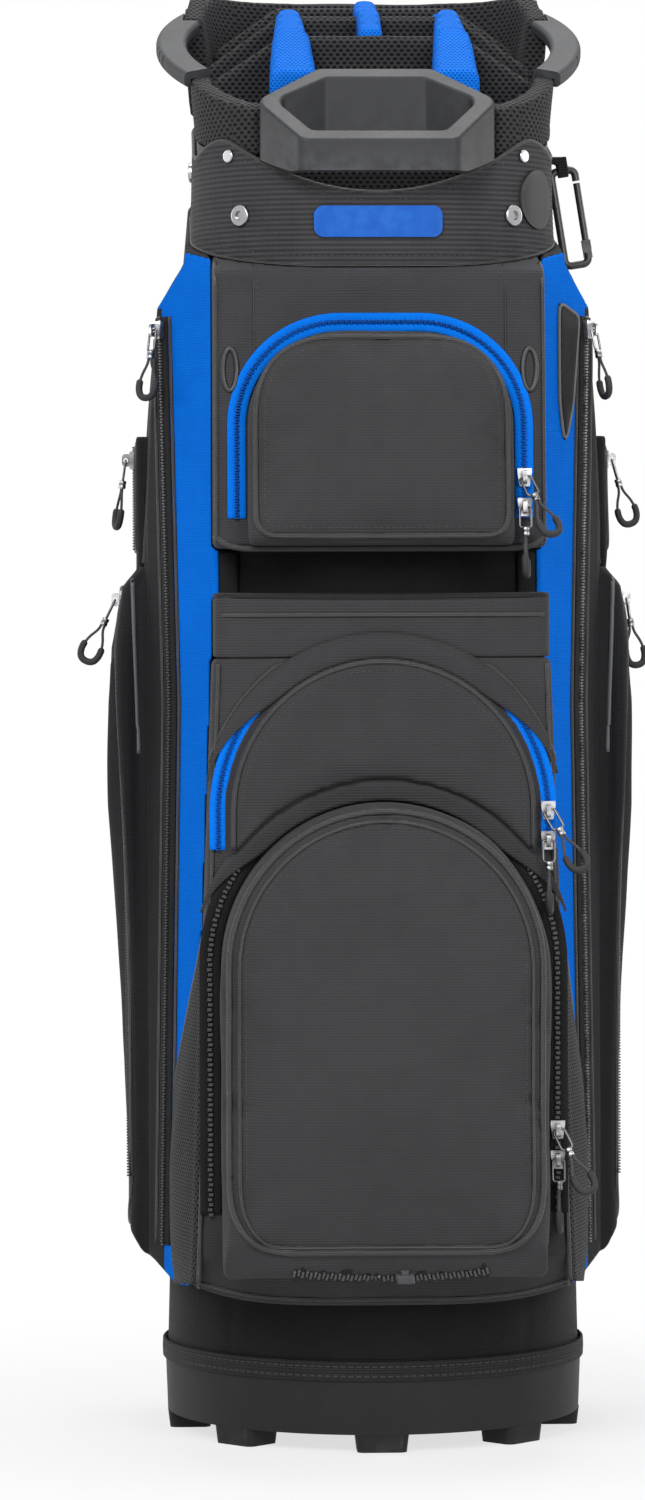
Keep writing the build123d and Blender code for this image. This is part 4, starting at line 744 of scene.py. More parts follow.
def folds(points, scale, seed=0.0):
    """Smooth unevenness from -1 to 1 over points, with a size in millimetres for each direction."""
    spots = points / np.array(scale) + seed
    return np.array([noise.noise(Vector(s)) for s in spots])


def near(points, line):
    """Distance of each point to a line's points."""
    marks = np.array([tuple(p) for p in line])
    best = np.full(len(points), 1e9)
    for start in range(0, len(marks), 40):
        gap = points[:, None, :] - marks[None, start:start + 40, :]
        best = np.minimum(best, np.sqrt((gap**2).sum(2)).min(1))
    return best


def ease_in(value, low, high):
    t = np.clip((value - low) / (high - low), 0, 1)
    return t * t * (3 - 2 * t)


def filled(mesh, held, pressure, cap, steps=14):
    """Fills a sewn piece by cloth simulation and returns where its points went."""
    rest = mesh_points(mesh)
    piece = bpy.data.objects.new("filling", mesh.copy())
    scene.collection.objects.link(piece)
    group = piece.vertex_groups.new(name="sewn")
    group.add([int(i) for i in np.nonzero(held)[0]], 1.0, "REPLACE")
    sim = piece.modifiers.new("filling", "CLOTH")
    sim.settings.quality = 4
    sim.settings.mass = 0.2
    sim.settings.tension_stiffness = 25.0
    sim.settings.compression_stiffness = 20.0
    sim.settings.shear_stiffness = 8.0
    sim.settings.bending_stiffness = 2.0
    sim.settings.use_pressure = True
    sim.settings.uniform_pressure_force = pressure
    sim.settings.effector_weights.gravity = 0.0
    sim.settings.vertex_group_mass = "sewn"
    sim.collision_settings.use_collision = False
    sim.point_cache.frame_start = 1
    sim.point_cache.frame_end = steps
    for step in range(1, steps + 1):
        scene.frame_set(step)
    eased = piece.evaluated_get(bpy.context.evaluated_depsgraph_get()).to_mesh()
    moved = mesh_points(eased)
    piece.to_mesh_clear()
    body = piece.data
    bpy.data.objects.remove(piece)
    bpy.data.meshes.remove(body)
    scene.frame_set(1)
    shift = moved - rest
    size = np.linalg.norm(shift, axis=1)
    return rest + shift * np.minimum(1.0, cap / np.maximum(size, 1e-6))[:, None]


def sewn_piece(name, meshes, finishes, mark=None):
    """One piece from several meshes."""
    work = bmesh.new()
    for mesh in meshes:
        work.from_mesh(mesh)
        bpy.data.meshes.remove(mesh)
    joined = bpy.data.meshes.new(name)
    work.to_mesh(joined)
    work.free()
    wear(joined, finishes)
    for face in joined.polygons:
        face.use_smooth = True
        face.material_index = mark(face.center / MM) if mark else 0
    return hung(name, joined, "bag")


def padded_piece(name, meshes, finish, node):
    piece = sewn_piece(name, meshes, finish)
    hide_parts(node)
    return piece


# Camera, light and floor
def set_camera():
    camera = bpy.data.cameras.new("camera")
    camera.sensor_width = 36.0
    camera.lens = 129.5
    eye = bpy.data.objects.new("camera", camera)
    scene.collection.objects.link(eye)
    eye.location = (-0.149, -3.397, 0.5)
    look = Vector((-0.0306, 0.0, 0.425)) - eye.location
    level = look.to_track_quat("-Z", "Y").to_matrix()
    eye.rotation_euler = (level @ Matrix.Rotation(math.radians(-0.19), 3, "Z")).to_euler()
    scene.camera = eye


def seen_rays(tree):
    """One for rays from the camera, straight or through a reflection or glass."""
    path = tree.nodes.new("ShaderNodeLightPath")
    seen = math_node(tree, "ADD", path.outputs["Is Camera Ray"], path.outputs["Is Glossy Ray"])
    return math_node(tree, "MINIMUM", math_node(tree, "ADD", seen, path.outputs["Is Transmission Ray"]), 1.0)


def set_light():
    world = bpy.data.worlds.new("studio")
    scene.world = world
    world.use_nodes = True
    tree = world.node_tree
    back = tree.nodes["Background"]
    back.inputs["Color"].default_value = (1.0, 1.0, 1.0, 1.0)
    strength = math_node(tree, "MULTIPLY_ADD", seen_rays(tree), 0.97, 0.03)
    tree.links.new(strength, back.inputs["Strength"])
    for name, place, aim, size, power in (
        ("key_softbox", (-1.1, -2.6, 2.1), (0, 0, 0.5), 1.5, 70.0),
        ("fill_softbox", (1.3, -2.5, 1.2), (0, 0, 0.45), 1.6, 38.0),
        ("top_softbox", (0.1, 0.3, 2.4), (0, 0, 0.6), 1.4, 26.0),
        ("left_strip", (-2.0, 0.5, 1.0), (0, 0, 0.5), 0.9, 9.0),
        ("right_strip", (2.0, 0.6, 1.0), (0, 0, 0.5), 0.9, 9.0),
    ):
        lamp = bpy.data.lights.new(name, "AREA")
        lamp.shape = "DISK"
        lamp.size = size
        lamp.energy = power
        holder = bpy.data.objects.new(name, lamp)
        scene.collection.objects.link(holder)
        holder.location = place
        holder.rotation_euler = (Vector(aim) - Vector(place)).to_track_quat("-Z", "Y").to_euler()


def paper_finish():
    """Pale paper that keeps the bag's shadow and fades to white away from it."""
    finish, tree, shader = new_finish("floor_paper", 0.7)
    shader.inputs["Base Color"].default_value = (0.86, 0.86, 0.87, 1.0)
    place = tree.nodes.new("ShaderNodeTexCoord")
    split = tree.nodes.new("ShaderNodeSeparateXYZ")
    tree.links.new(place.outputs["Object"], split.inputs[0])
    across = math_node(tree, "MULTIPLY", split.outputs["X"], split.outputs["X"])
    square = math_node(tree, "MULTIPLY_ADD", split.outputs["Y"], split.outputs["Y"], across)
    away = math_node(tree, "SQRT", square)
    pale = math_node(tree, "MULTIPLY_ADD", ramp_between(tree, away, 0.16, 0.6), 0.3, 0.7)
    glow = tree.nodes.new("ShaderNodeEmission")
    glow.inputs["Color"].default_value = (1, 1, 1, 1)
    mix = tree.nodes.new("ShaderNodeMixShader")
    tree.links.new(math_node(tree, "MULTIPLY", pale, seen_rays(tree)), mix.inputs[0])
    tree.links.new(shader.outputs[0], mix.inputs[1])
    tree.links.new(glow.outputs[0], mix.inputs[2])
    tree.links.new(mix.outputs[0], tree.nodes["Material Output"].inputs["Surface"])
    return finish


def set_floor():
    reach, steps = 24.0, np.linspace(-1.0, 1.0, 49)
    points = [(reach * across**3, reach * along**3, -0.0002) for along in steps for across in steps]
    floor = bpy.data.meshes.new("floor")
    floor.from_pydata(points, [], strip_faces(len(steps), len(steps)))
    ground = bpy.data.objects.new("floor", floor)
    scene.collection.objects.link(ground)
    floor.materials.append(paper_finish())
    scene.view_settings.view_transform = "Standard"


# Zip sliders' pulls
CORD_ROUTE = (
    (-1.1, -18.0), (-1.1, -21.0), (-5.0, -28.0), (-6.6, -36.0), (-4.0, -42.5),
    (4.0, -42.5), (6.6, -36.0), (5.0, -28.0), (1.1, -21.0), (1.1, -18.0))
BARREL_TURNING = (
    (-12.9, 1.5), (-13.0, 2.1), (-13.5, 2.3), (-15.0, 2.3), (-15.2, 2.05),
    (-15.6, 2.05), (-15.8, 2.3), (-17.5, 2.3), (-18.0, 2.0), (-18.0, 0.8))
GRIP_TOP, GRIP_RADIUS, GRIP_ENDS = -31.0, 2.15, (1.35, 1.9)
LINK_HALF, LINK_LENGTH, LINK_CORNER, WIRE_RADIUS = 3.5, 13.0, 1.8, 0.75
LONG_TRACK = ((18.0, 694.0), (27.0, 455.0), (17.0, 120.0))
POUCH_TRACK = ((10.0, -12.0), (26.0, -380.0))
SMALL_TRACK = ((-36.0, -6.0), (-36.0, -70.0))
UPPER_TRACK, MIDDLE_TRACK, COOLER_TRACK = 86.8, 99.0, 104.3


SIDES = (("left", False), ("right", True))


def heading(track):
    """Turn of a track's first stretch away from upright."""
    return math.atan2(track[1][0] - track[0][0], track[0][1] - track[1][1])


# Name, plane, place across and up it, heading, lean, twist and swing of the pull, mirrored or not
SLIDERS = (
    ("upper_a", YOKE_PLANE, UPPER_TRACK, 42.0, 0.0, 24, 15, 22, False),
    ("upper_b", YOKE_PLANE, UPPER_TRACK, 24.0, 0.0, 9, 80, 0, False),
    ("middle_a", MIDDLE_PLANE, MIDDLE_TRACK, MIDDLE_SPRING, 0.0, 24, 15, 26, False),
    ("middle_b", MIDDLE_PLANE, MIDDLE_TRACK, 374.0, 0.0, 9, 80, 0, False),
    ("cooler_a", MIDDLE_PLANE, COOLER_TRACK, 200.0, 0.0, 24, 15, 24, False),
    ("cooler_b", MIDDLE_PLANE, COOLER_TRACK, 182.0, 0.0, 9, 80, 0, False),
    ("left_long", BLUE_PLANE, 18.3, 686.0, heading(LONG_TRACK), 9, 20, 0, False),
    ("left_small", SMALL_PLANE, -36.0, -14.0, 0.0, 8, 15, 0, False),
    ("left_pouch", POUCH_PLANE, 10.35, -20.0, heading(POUCH_TRACK), 26, 80, 0, False),
    ("right_long", BLUE_PLANE, 18.3, 686.0, heading(LONG_TRACK), 13, -55, 0, True),
    ("right_small", SMALL_PLANE, -36.0, -14.0, 0.0, 16, 75, 0, True),
    ("right_pouch", POUCH_PLANE, 10.35, -20.0, heading(POUCH_TRACK), 9, 75, 0, True),
)


def turn(axis, degrees):
    return Matrix.Rotation(math.radians(degrees), 4, axis)


def pull_link(name, hang, flip):
    """Wire link and turned crimp barrel."""
    def placed(*p):
        return mirrored(hang @ Vector(p), flip)

    low = -LINK_LENGTH
    corners = [(-LINK_HALF, 0), (LINK_HALF, 0), (LINK_HALF, low), (-LINK_HALF, low)]
    wire = [placed(a, b, 0) for a, b in rounded_line(corners, [LINK_CORNER] * 4, 4)]
    face = placed(0, 0, 1) - placed(0, 0, 0)
    link = swept(wire, [face] * len(wire), round_profile(WIRE_RADIUS, 8), True)
    stem = []
    for along, radius in BARREL_TURNING:
        stem += [placed(radius * math.cos(t), along, radius * math.sin(t)) for t in around(12)]
    barrel = (stem, turned_faces(len(BARREL_TURNING), 12))
    points, faces, _ = gather([(0, link), (0, barrel)])
    metal = new_piece("pull_link_" + name, points, faces, SLIDER_METAL, "pull_" + name)
    if flip:
        metal.data.flip_normals()


def pull_cord(name, loop, flip):
    """Cord loop, and the points along its middle."""
    route = bpy.data.curves.new("pull_cord_" + name, "CURVE")
    route.dimensions = "3D"
    spline = route.splines.new("NURBS")
    spline.points.add(len(CORD_ROUTE) - 1)
    for point, (a, b) in zip(spline.points, CORD_ROUTE):
        point.co = (*(mirrored(loop @ Vector((a, b, 0)), flip) * MM), 1.0)
    spline.order_u = 3
    spline.use_endpoint_u = True
    spline.resolution_u = 10
    cord = bpy.data.objects.new("pull_cord_" + name, route)
    scene.collection.objects.link(cord)
    bare = evaluated_mesh(cord)
    middle = [v.co / MM for v in bare.vertices]
    bpy.data.meshes.remove(bare)
    route.bevel_depth = 0.00085
    route.bevel_resolution = 3
    route.materials.append(PULL_CORD)
    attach(cord, "pull_" + name)
    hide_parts("pull_" + name)
    return cord, middle


def pull_grip(name, loop, flip, middle):
    """Rubber sleeve over the lower part of the cord."""
    back = loop.inverted()
    inner = [p for p in middle if (back @ mirrored(p, flip)).y < GRIP_TOP]
    outward = mirrored(loop @ Vector((0, 0, 1)), flip) - mirrored(loop @ Vector((0, 0, 0)), flip)
    sleeve, last = [], len(inner) - 1
    for i, (p, (_, across, out)) in enumerate(zip(inner, run_frames(inner, [outward] * len(inner)))):
        end = min(i, last - i)
        radius = GRIP_ENDS[end] if end < len(GRIP_ENDS) else GRIP_RADIUS
        sleeve += [p + across * radius * math.cos(t) + out * radius * math.sin(t) for t in around(10)]
    sides = turned_faces(len(inner), 10)
    return new_piece("pull_grip_" + name, sleeve, sides, PULL_RUBBER, "pull_" + name)


def zip_pull(name, plane, x, y, head, lean, twist, swing, flip):
    """Wire link, crimp barrel, cord loop and rubber grip, hung from a slider."""
    hang = plane.matrix @ Matrix.Translation((x, y, 0)) @ Matrix.Rotation(head, 4, "Z")
    hang = hang @ Matrix.Translation((0, 0, PIVOT_HEIGHT)) @ turn("X", -lean) @ turn("Z", swing)
    loop = hang @ turn("Y", twist)
    pull_link(name, hang, flip)
    cord, middle = pull_cord(name, loop, flip)
    grip = pull_grip(name, loop, flip, middle)


# Tube, cuff and base
def tube_size(z):
    share = (z - BOOT_HEIGHT) / (THROAT_HEIGHT - BOOT_HEIGHT)
    width = FOOT_WIDTH + share * (THROAT_WIDTH - FOOT_WIDTH)
    depth = FOOT_WIDTH + share * (THROAT_DEPTH - FOOT_WIDTH)
    return width, depth, FOOT_CORNER + share * (THROAT_CORNER - FOOT_CORNER)


def tube_loop(z, grow, count):
    """(x, y, outward x, outward y) round the tube at a height, starting at the rear."""
    width, depth, corner = tube_size(z)
    radius = corner + grow
    a, b = width / 2 - corner, depth / 2 - corner
    arc = math.pi / 2 * radius
    runs = (a, arc, 2 * b, arc, 2 * a, arc, 2 * b, arc, a)
    total = sum(runs)
    loop = []
    for i in range(count):
        s = total * i / count
        step = 0
        while s > runs[step] and step < 8:
            s -= runs[step]
            step += 1
        t = s / radius
        if step == 0:
            spot = (s, b + radius, 0, 1)
        elif step == 1:
            spot = (a + radius * math.sin(t), b + radius * math.cos(t), math.sin(t), math.cos(t))
        elif step == 2:
            spot = (a + radius, b - s, 1, 0)
        elif step == 3:
            spot = (a + radius * math.cos(t), -b - radius * math.sin(t), math.cos(t), -math.sin(t))
        elif step == 4:
            spot = (a - s, -b - radius, 0, -1)
        elif step == 5:
            spot = (-a - radius * math.sin(t), -b - radius * math.cos(t), -math.sin(t), -math.cos(t))
        elif step == 6:
            spot = (-a - radius, -b + s, -1, 0)
        elif step == 7:
            spot = (-a - radius * math.cos(t), b + radius * math.sin(t), -math.cos(t), math.sin(t))
        else:
            spot = (-a + s, b + radius, 0, 1)
        loop.append(spot)
    return loop


known_loops = {}


def tube_spot(z, grow, count, number):
    """One spot of the tube's loop, at a height taken to a tenth of a millimetre."""
    key = (round(z, 1), grow, count)
    if key not in known_loops:
        known_loops[key] = tube_loop(*key)
    return known_loops[key][number]


def bag_tube():
    """The tapering cloth tube, sewn from four panels, slightly uneven."""
    count, rows, seam_place = 192, 84, 92.0
    depths = [s[1] for s in tube_loop(400.0, 0, count)]
    shape = []
    for i in range(rows):
        share = i / (rows - 1)
        for j in range(count):
            z = BOOT_HEIGHT + share * (TUBE_TOP + RISE * depths[j] - BOOT_HEIGHT)
            x, y, nx, ny = tube_spot(z, 0, count, j)
            sag = 0.5 + 0.5 * noise.noise(Vector((x / 60, y / 60, z / 110)))
            seam = 0.8 * math.exp(-((abs(x) - seam_place) / 2.5) ** 2)
            sink = 0.2 + 0.9 * sag + seam
            shape.append((x - nx * sink, y - ny * sink, z))
    piece = new_piece("bag_tube", shape, strip_faces(rows, count, False, True), TUBE_CLOTH)
    piece.data.flip_normals()
    thicken(piece, 2.6, -1.0)
    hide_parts("front_panel", "rear_panel", "side_walls")


def cuff_top(x, y):
    """Height of the cuff's upper edge, which peaks at the front corners and is scooped between them."""
    if y > CUFF_PEAK_BACK:
        high = CUFF_HIGH + RISE * y
    else:
        back = CUFF_HIGH + RISE * CUFF_PEAK_BACK
        share = min(1.0, (CUFF_PEAK_BACK - y) / (CUFF_PEAK_BACK - CUFF_PEAK_FRONT))
        high = back + share * (CUFF_PEAK - back)
    if y < 0 and abs(x) < SCOOP_RADIUS:
        high = min(high, SCOOP_LOW + SCOOP_RADIUS - math.sqrt(SCOOP_RADIUS**2 - x * x))
    return high


def cuff_band():
    """Ribbed cloth cuff with a scooped front edge, its binding and stitching."""
    count, rows, rib_pitch, hem_low, hem_high = 300, 90, 3.1, 6.0, 5.0
    base = tube_loop(770.0, CUFF_FACE, count)
    lows = [CUFF_LOW + RISE * s[1] for s in base]
    highs = np.array([cuff_top(s[0], s[1]) for s in base])
    for _ in range(4):
        highs = np.minimum(highs, (np.roll(highs, 1) + 2 * highs + np.roll(highs, -1)) / 4)
    shape = []
    for i in range(rows):
        share = i / (rows - 1)
        for j in range(count):
            z = lows[j] + share * (highs[j] - lows[j])
            x, y, nx, ny = tube_spot(z, CUFF_FACE, count, j)
            up, down = z - lows[j], highs[j] - z
            rib = 0.22 * (1 - math.cos(2 * math.pi * up / rib_pitch)) / 2
            hem = 0.5 * math.exp(-((up - hem_low) / 0.9) ** 2)
            hem = hem + 0.4 * math.exp(-((down - hem_high) / 0.9) ** 2)
            slack = 0.35 * (1 + noise.noise(Vector((x / 45, y / 45, z / 70))))
            sink = 0.1 + rib + hem + slack * ease_in(np.array(min(up, down)), 0, 14)
            shape.append((x - nx * sink, y - ny * sink, z))
    piece = new_piece("cuff_band", shape, strip_faces(rows, count, False, True), CUFF_CLOTH)
    piece.data.flip_normals()
    thicken(piece, 1.6, -1.0)
    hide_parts("cuff")

    def edge(heights, grow, inset):
        spots = [tube_loop(z, grow, count)[j] for j, z in enumerate(heights)]
        line = [Vector((x - nx * inset, y - ny * inset, z)) for (x, y, nx, ny), z in zip(spots, heights)]
        return line, [Vector((nx, ny, 0)) for _, _, nx, ny in spots]

    low_edge, _ = edge(lows, CUFF_FACE, 1.0)
    high_edge, outs = edge(highs, CUFF_FACE, 1.0)
    shape, faces = swept(low_edge, outs, round_profile(1.2, 8), True)
    new_piece("cuff_lower_binding", shape, faces, PIPING_CLOTH)
    shape, faces = swept(smoothed_line(high_edge, 3, True), outs, round_profile(1.35, 8), True)
    new_piece("cuff_upper_binding", shape, faces, PIPING_CLOTH)
    for name, heights in (
        ("cuff_lower_stitches", [z + hem_low for z in lows]),
        ("cuff_upper_stitches", [z - hem_high for z in highs]),
    ):
        stitching(name, edge(heights, CUFF_FACE - 0.75, 0.0)[0], outs, height=0.4)


def scoop_lining():
    """Dark padded lining behind the cuff's scooped edge, up to the front handle."""
    columns, rows, half = 61, 9, 74.0
    shape = []
    loop = [s for s in tube_loop(770.0, CUFF_FACE - 5.0, 600) if s[1] < 0 and abs(s[0]) <= half]
    loop.sort(key=lambda s: s[0])
    for i in range(rows):
        v = i / (rows - 1)
        for j in range(columns):
            x, y, nx, ny = loop[round(j * (len(loop) - 1) / (columns - 1))]
            low = cuff_top(x, y) - 9.0
            high = max(cuff_top(x, y) + 0.5, LINING_TOP)
            puff = 1.6 * math.sin(math.pi * v)
            shape.append((x + nx * puff, y + ny * puff, low + v * (high - low)))
    piece = new_piece("cuff_scoop_lining", shape, strip_faces(rows, columns), BLACK_MESH)
    thicken(piece, 1.2, 0.0)


def base_trim():
    """Stitched binding over the joint of tube and boot."""
    outs = [Vector((math.sin(t), -math.cos(t), 0)) for t in around(160)]
    ring = [out * BOOT_RADIUS + Vector((0, 0, BOOT_HEIGHT)) for out in outs]
    half = [(6.0, 0.05), (6.0, 1.0), (5.4, 1.5), (3.4, 1.6), (2.8, 1.25), (2.2, 1.65)]
    profile = [(-6.0, 0.05)] + half + [(0, 1.75)] + [(-across, out) for across, out in reversed(half[1:])]
    shape, faces = swept(ring, outs, profile, True)
    band = new_piece("base_binding_band", shape, faces, WEBBING)
    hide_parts("base_binding")
    for name, z in (("base_stitches_high", 52.8), ("base_stitches_low", 47.2)):
        line = [Vector((p.x, p.y, z)) + o * 1.35 for p, o in zip(ring, outs)]
        stitching(name, line + line[:1], outs + outs[:1], 3.2, 1.6, 0.7, 0.3)


# Zips
def toothed_piece(name, ribbon, teeth, finishes):
    """Smooth tape and sharp teeth as one piece."""
    shape, faces, marks = gather([(0, ribbon)] + [(1, tooth) for tooth in teeth])
    piece = new_piece(name, shape, faces, finishes, face_finish=marks)
    for face in piece.data.polygons:
        face.use_smooth = face.material_index == 0
    return piece


def zip_band(name, plane, line, tape, tooth, pitch, tooth_size, slot, half=6.4):
    """Woven tape with interlocking teeth along its middle."""
    out = plane.out()
    points = [plane.at(x, y) for x, y in even_line(line, 3.0)]
    edge = half - 0.4
    profile = [(-half, -0.3), (half, -0.3), (half, 0.6), (edge, 0.9), (2.4, 1.15), (1.9, 0.85)]
    profile += [(-1.9, 0.85), (-2.4, 1.15), (-edge, 0.9), (-half, 0.6)]
    ribbon = swept(points, [out] * len(points), profile)
    spots = [plane.at(x, y) for x, y in even_line(line, pitch)]

    def one(i, point, axes):
        return small_block(point, axes, *tooth_size, 0.7, 2.7, 0.28 * (-1) ** i, 0.35)

    piece = toothed_piece(name, ribbon, chain_of(spots, [out] * len(spots), one), [tape, tooth])
    if plane.flip:
        piece.data.flip_normals()
    return piece


def shouldered_line(half, low, high, corner, steps=18):
    """Open line of (x, y) points with upright legs and two rounded shoulders."""
    line = [(half, low + (high - corner - low) * i / 8) for i in range(8)]
    middle = (half - corner, high - corner)
    turns = np.linspace(0, math.pi / 2, steps)
    line += [(middle[0] + corner * math.cos(t), middle[1] + corner * math.sin(t)) for t in turns]
    return line + [(-x, y) for x, y in reversed(line)]


UPPER_LINE = shouldered_line(UPPER_TRACK, 18.0, 136.8, 62.8)
MIDDLE_LINE = arch_line(MIDDLE_TRACK, 369.0, MIDDLE_SPRING)
COOLER_LINE = arch_line(COOLER_TRACK, 150.0, COOLER_SPRING)
COOLER_EDGE = 118.5


def all_zips():
    blue = (BLUE_TAPE, BLUE_TOOTH, 1.7, (1.05, 2.2), "blue_cloth")
    fine_black = (BLACK_TAPE, TOOTH_PLASTIC, 1.8, (1.15, 2.2), "zip_black")
    coarse_black = (BLACK_TAPE, TOOTH_PLASTIC, 3.0, (2.0, 2.8), "zip_black")

    def bare(x, y):
        return x**2 + (y - COOLER_SPRING) ** 2 > COOLER_EDGE**2 or y > MIDDLE_SPRING

    upper = zip_band("upper_zip", YOKE_PLANE, UPPER_LINE, *blue, 5.6)
    middle = zip_band("middle_zip", MIDDLE_PLANE, [p for p in MIDDLE_LINE if bare(*p)], *blue, 5.2)
    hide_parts("blue_zips")
    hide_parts("blue_zips")
    cooler = zip_band("cooler_zip_band", MIDDLE_PLANE, COOLER_LINE, *coarse_black)
    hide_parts("cooler_zip")
    zip_flap("middle_zip_flap", MIDDLE_SPRING, 107.0, 91.4, (12.0, 170.0), 42.0, 3.4)
    zip_flap("cooler_zip_flap", COOLER_SPRING, 114.0, 98.6, (16.0, 164.0), 30.0, 4.2)
    for side, flip in SIDES:
        for label, plane, track in (
            ("long", BLUE_PLANE, LONG_TRACK),
            ("pouch", POUCH_PLANE, POUCH_TRACK),
            ("small", SMALL_PLANE, SMALL_TRACK),
        ):
            band = zip_band(side + "_" + label + "_zip", sided(plane, flip), list(track), *fine_black)
            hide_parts("side_zips")


def zip_flap(name, middle, outer, inner, span, taper, lift):
    """Cloth flap over the crown of a zip's arch, narrowing to nothing at both ends."""
    columns, rows = 90, 9
    out = MIDDLE_PLANE.out()
    shape = []
    for j in range(columns):
        angle = span[0] + (span[1] - span[0]) * j / (columns - 1)
        share = min((angle - span[0]) / taper, (span[1] - angle) / taper, 1.0)
        share = 0.04 + 0.96 * share * share * (3 - 2 * share)
        across, up = math.cos(math.radians(angle)), math.sin(math.radians(angle))
        for i in range(rows):
            s = i / (rows - 1)
            radius = outer + s * share * (inner - outer)
            rise = min(1.0, s / 0.4)
            high = 0.3 + share * lift * rise * rise * (3 - 2 * rise)
            high += 0.3 * noise.noise(Vector((angle / 9.0, s * 2, middle)))
            shape.append(MIDDLE_PLANE.at(radius * across, middle + radius * up) + out * high)
    piece = new_piece(name, shape, strip_faces(columns, rows), POCKET_CLOTH)
    thicken(piece, 1.2, -1.0)


def track_points(plane, line, flip=False):
    return [sided(plane, flip).at(x, y) for x, y in even_line(list(line), 6.0)]


# Front pockets
def front_yoke():
    mesh, rest, normal = pattern_of("front_yoke", 3.0, 2)
    clear = ease_in(near(rest, track_points(YOKE_PLANE, UPPER_LINE)), 9, 24)
    front = ease_in(-normal[:, 1], 0.3, 0.9)
    soft = 2.4 * folds(rest, (52, 90, 60)) + 1.8 * folds(rest, (19, 60, 75), 7.0)
    pleat = 1.1 * np.exp(-((np.abs(rest[:, 0]) - YOKE_SEAM) / 1.6) ** 2) * ease_in(rest[:, 2], 600, 640)
    shift = front * (clear * (soft + 0.5) - pleat) - 0.2
    set_points(mesh, rest + normal * shift[:, None])
    return padded_piece("yoke_panel", [mesh], YOKE_CLOTH, "front_yoke")


def filled_front(name, node, voxel, plane, sewn, cap, full, broad, fine):
    """Pocket front filled from its sewn edge outwards and left uneven."""
    mesh, rest, normal = pattern_of(node, voxel, 3)
    lift = (rest - np.array(plane.at(0, 0))) @ np.array(plane.out())
    moved = filled(mesh, lift < sewn, 4.0, cap)
    share = ease_in(lift, 6, full)
    uneven = share * (2.2 * folds(rest, *broad) + 0.7 * folds(rest, *fine))
    set_points(mesh, rest + (moved - rest) * share[:, None] + normal * uneven[:, None])
    return padded_piece(name, [mesh], POCKET_CLOTH, node)


def upper_pocket():
    broad, fine = ((50, 40, 40), 3.0), ((22, 40, 24), 9.0)
    return filled_front("upper_pocket_front", "upper_pocket", 3.0, YOKE_PLANE, 3.0, 5.0, 20, broad, fine)


def slip_pocket():
    mesh, rest, normal = pattern_of("slip_pocket", 1.6, 3)
    lip = ease_in(rest[:, 2], 490, SLIP_TOP) * ease_in(-rest[:, 1], 140, 160)
    sag = lip * (1.0 * folds(rest, (60, 60, 60), 5.0) - 0.8 * (1 - (rest[:, 0] / YOKE_HALF) ** 2))
    rest[:, 2] += sag * 1.2
    set_points(mesh, rest - normal * 0.1)
    return padded_piece("slip_pocket_lip", [mesh], POCKET_CLOTH, "slip_pocket")


def apron_rise(x):
    """How far the apron's lower edge is drawn up at a distance from the middle."""
    return 12.0 * (np.abs(x) / 113.0) ** 4


def middle_pocket():
    mesh, rest, normal = pattern_of("middle_pocket", 3.2, 2)
    tracks = track_points(MIDDLE_PLANE, MIDDLE_LINE) + track_points(MIDDLE_PLANE, COOLER_LINE)
    clear = ease_in(near(rest, tracks), 8.5, 22)
    front = ease_in(-normal[:, 1], 0.2, 0.9) * (rest[:, 1] < -140)
    radius = np.hypot(rest[:, 0], rest[:, 2] - MIDDLE_SPRING)
    crown = 2.6 * np.clip(1 - (radius / 90.0) ** 2, 0, 1)
    soft = 2.6 * folds(rest, (55, 80, 55), 2.0) + 1.0 * folds(rest, (26, 60, 34), 4.0)
    shift = front * clear * (soft + crown) - 0.2
    rest[:, 2] += apron_rise(rest[:, 0]) * ease_in(-rest[:, 2], -150, -96)
    set_points(mesh, rest + normal * shift[:, None])
    return padded_piece("middle_pocket_front", [mesh], POCKET_CLOTH, "middle_pocket")


def cooler_pocket():
    broad, fine = ((60, 60, 60), 1.0), ((28, 60, 34), 6.0)
    return filled_front(
        "cooler_pocket_front", "cooler_pocket", 3.4, MIDDLE_PLANE, 3.5, 6.0, 30, broad, fine)


def yoke_trim(on_yoke, on_upper):
    """Piping and stitching of the upper pocket and along the yoke's foot."""
    loop = rounded_line([(75.5, 5.5), (75.5, 125.5), (-75.5, 125.5), (-75.5, 5.5)], [11, 50, 50, 11], 14)
    laid_piping("upper_piping", YOKE_PLANE, even_line(loop, 3.0, True), on_upper, 0.2, 2.0, True)
    loop = rounded_line([(70.5, 10.5), (70.5, 120.5), (-70.5, 120.5), (-70.5, 10.5)], [9, 46, 46, 9], 14)
    loop = even_line(loop, 3.0, True)
    laid_stitches("upper_stitches", YOKE_PLANE, loop + loop[:1], on_upper)
    foot = [(100.0, 8.0), (94.0, 2.0), (84.0, -0.5)]
    foot = [(-x, y) for x, y in foot] + [(0, -0.5)] + foot[::-1]
    points, outs = lay_on(YOKE_PLANE, even_line(foot, 3.0), on_yoke + on_upper, 0.3, 60.0, 0.0)
    piping("yoke_foot_piping", points, outs, 2.0)


def edge_trim(on_yoke, on_middle):
    """Seams and piped edges at both sides of the front."""
    for label, side in (("left", -1), ("right", 1)):
        def upright(*spots):
            return even_line([(side * x, y) for x, y in spots], 4.0)

        seam = upright((YOKE_SEAM, 60.0), (YOKE_SEAM, 178.0))
        laid_piping(label + "_yoke_seam", YOKE_PLANE, seam, on_yoke, 0.1, 0.8)
        seam = upright((73.5, 150.0), (73.5, 178.0))
        laid_stitches(label + "_yoke_stitches", YOKE_PLANE, seam, on_yoke)
        edge = upright((98.8, 4.0), (98.8, 176.0))
        laid_piping(label + "_yoke_edge_piping", YOKE_PLANE, edge, on_yoke, 0.2, 1.5)
        edge = upright((98.0, 484.0), (104.5, 300.0), (111.5, 104.0))
        laid_piping(label + "_middle_edge_piping", MIDDLE_PLANE, edge, on_middle, 0.2, 1.5)


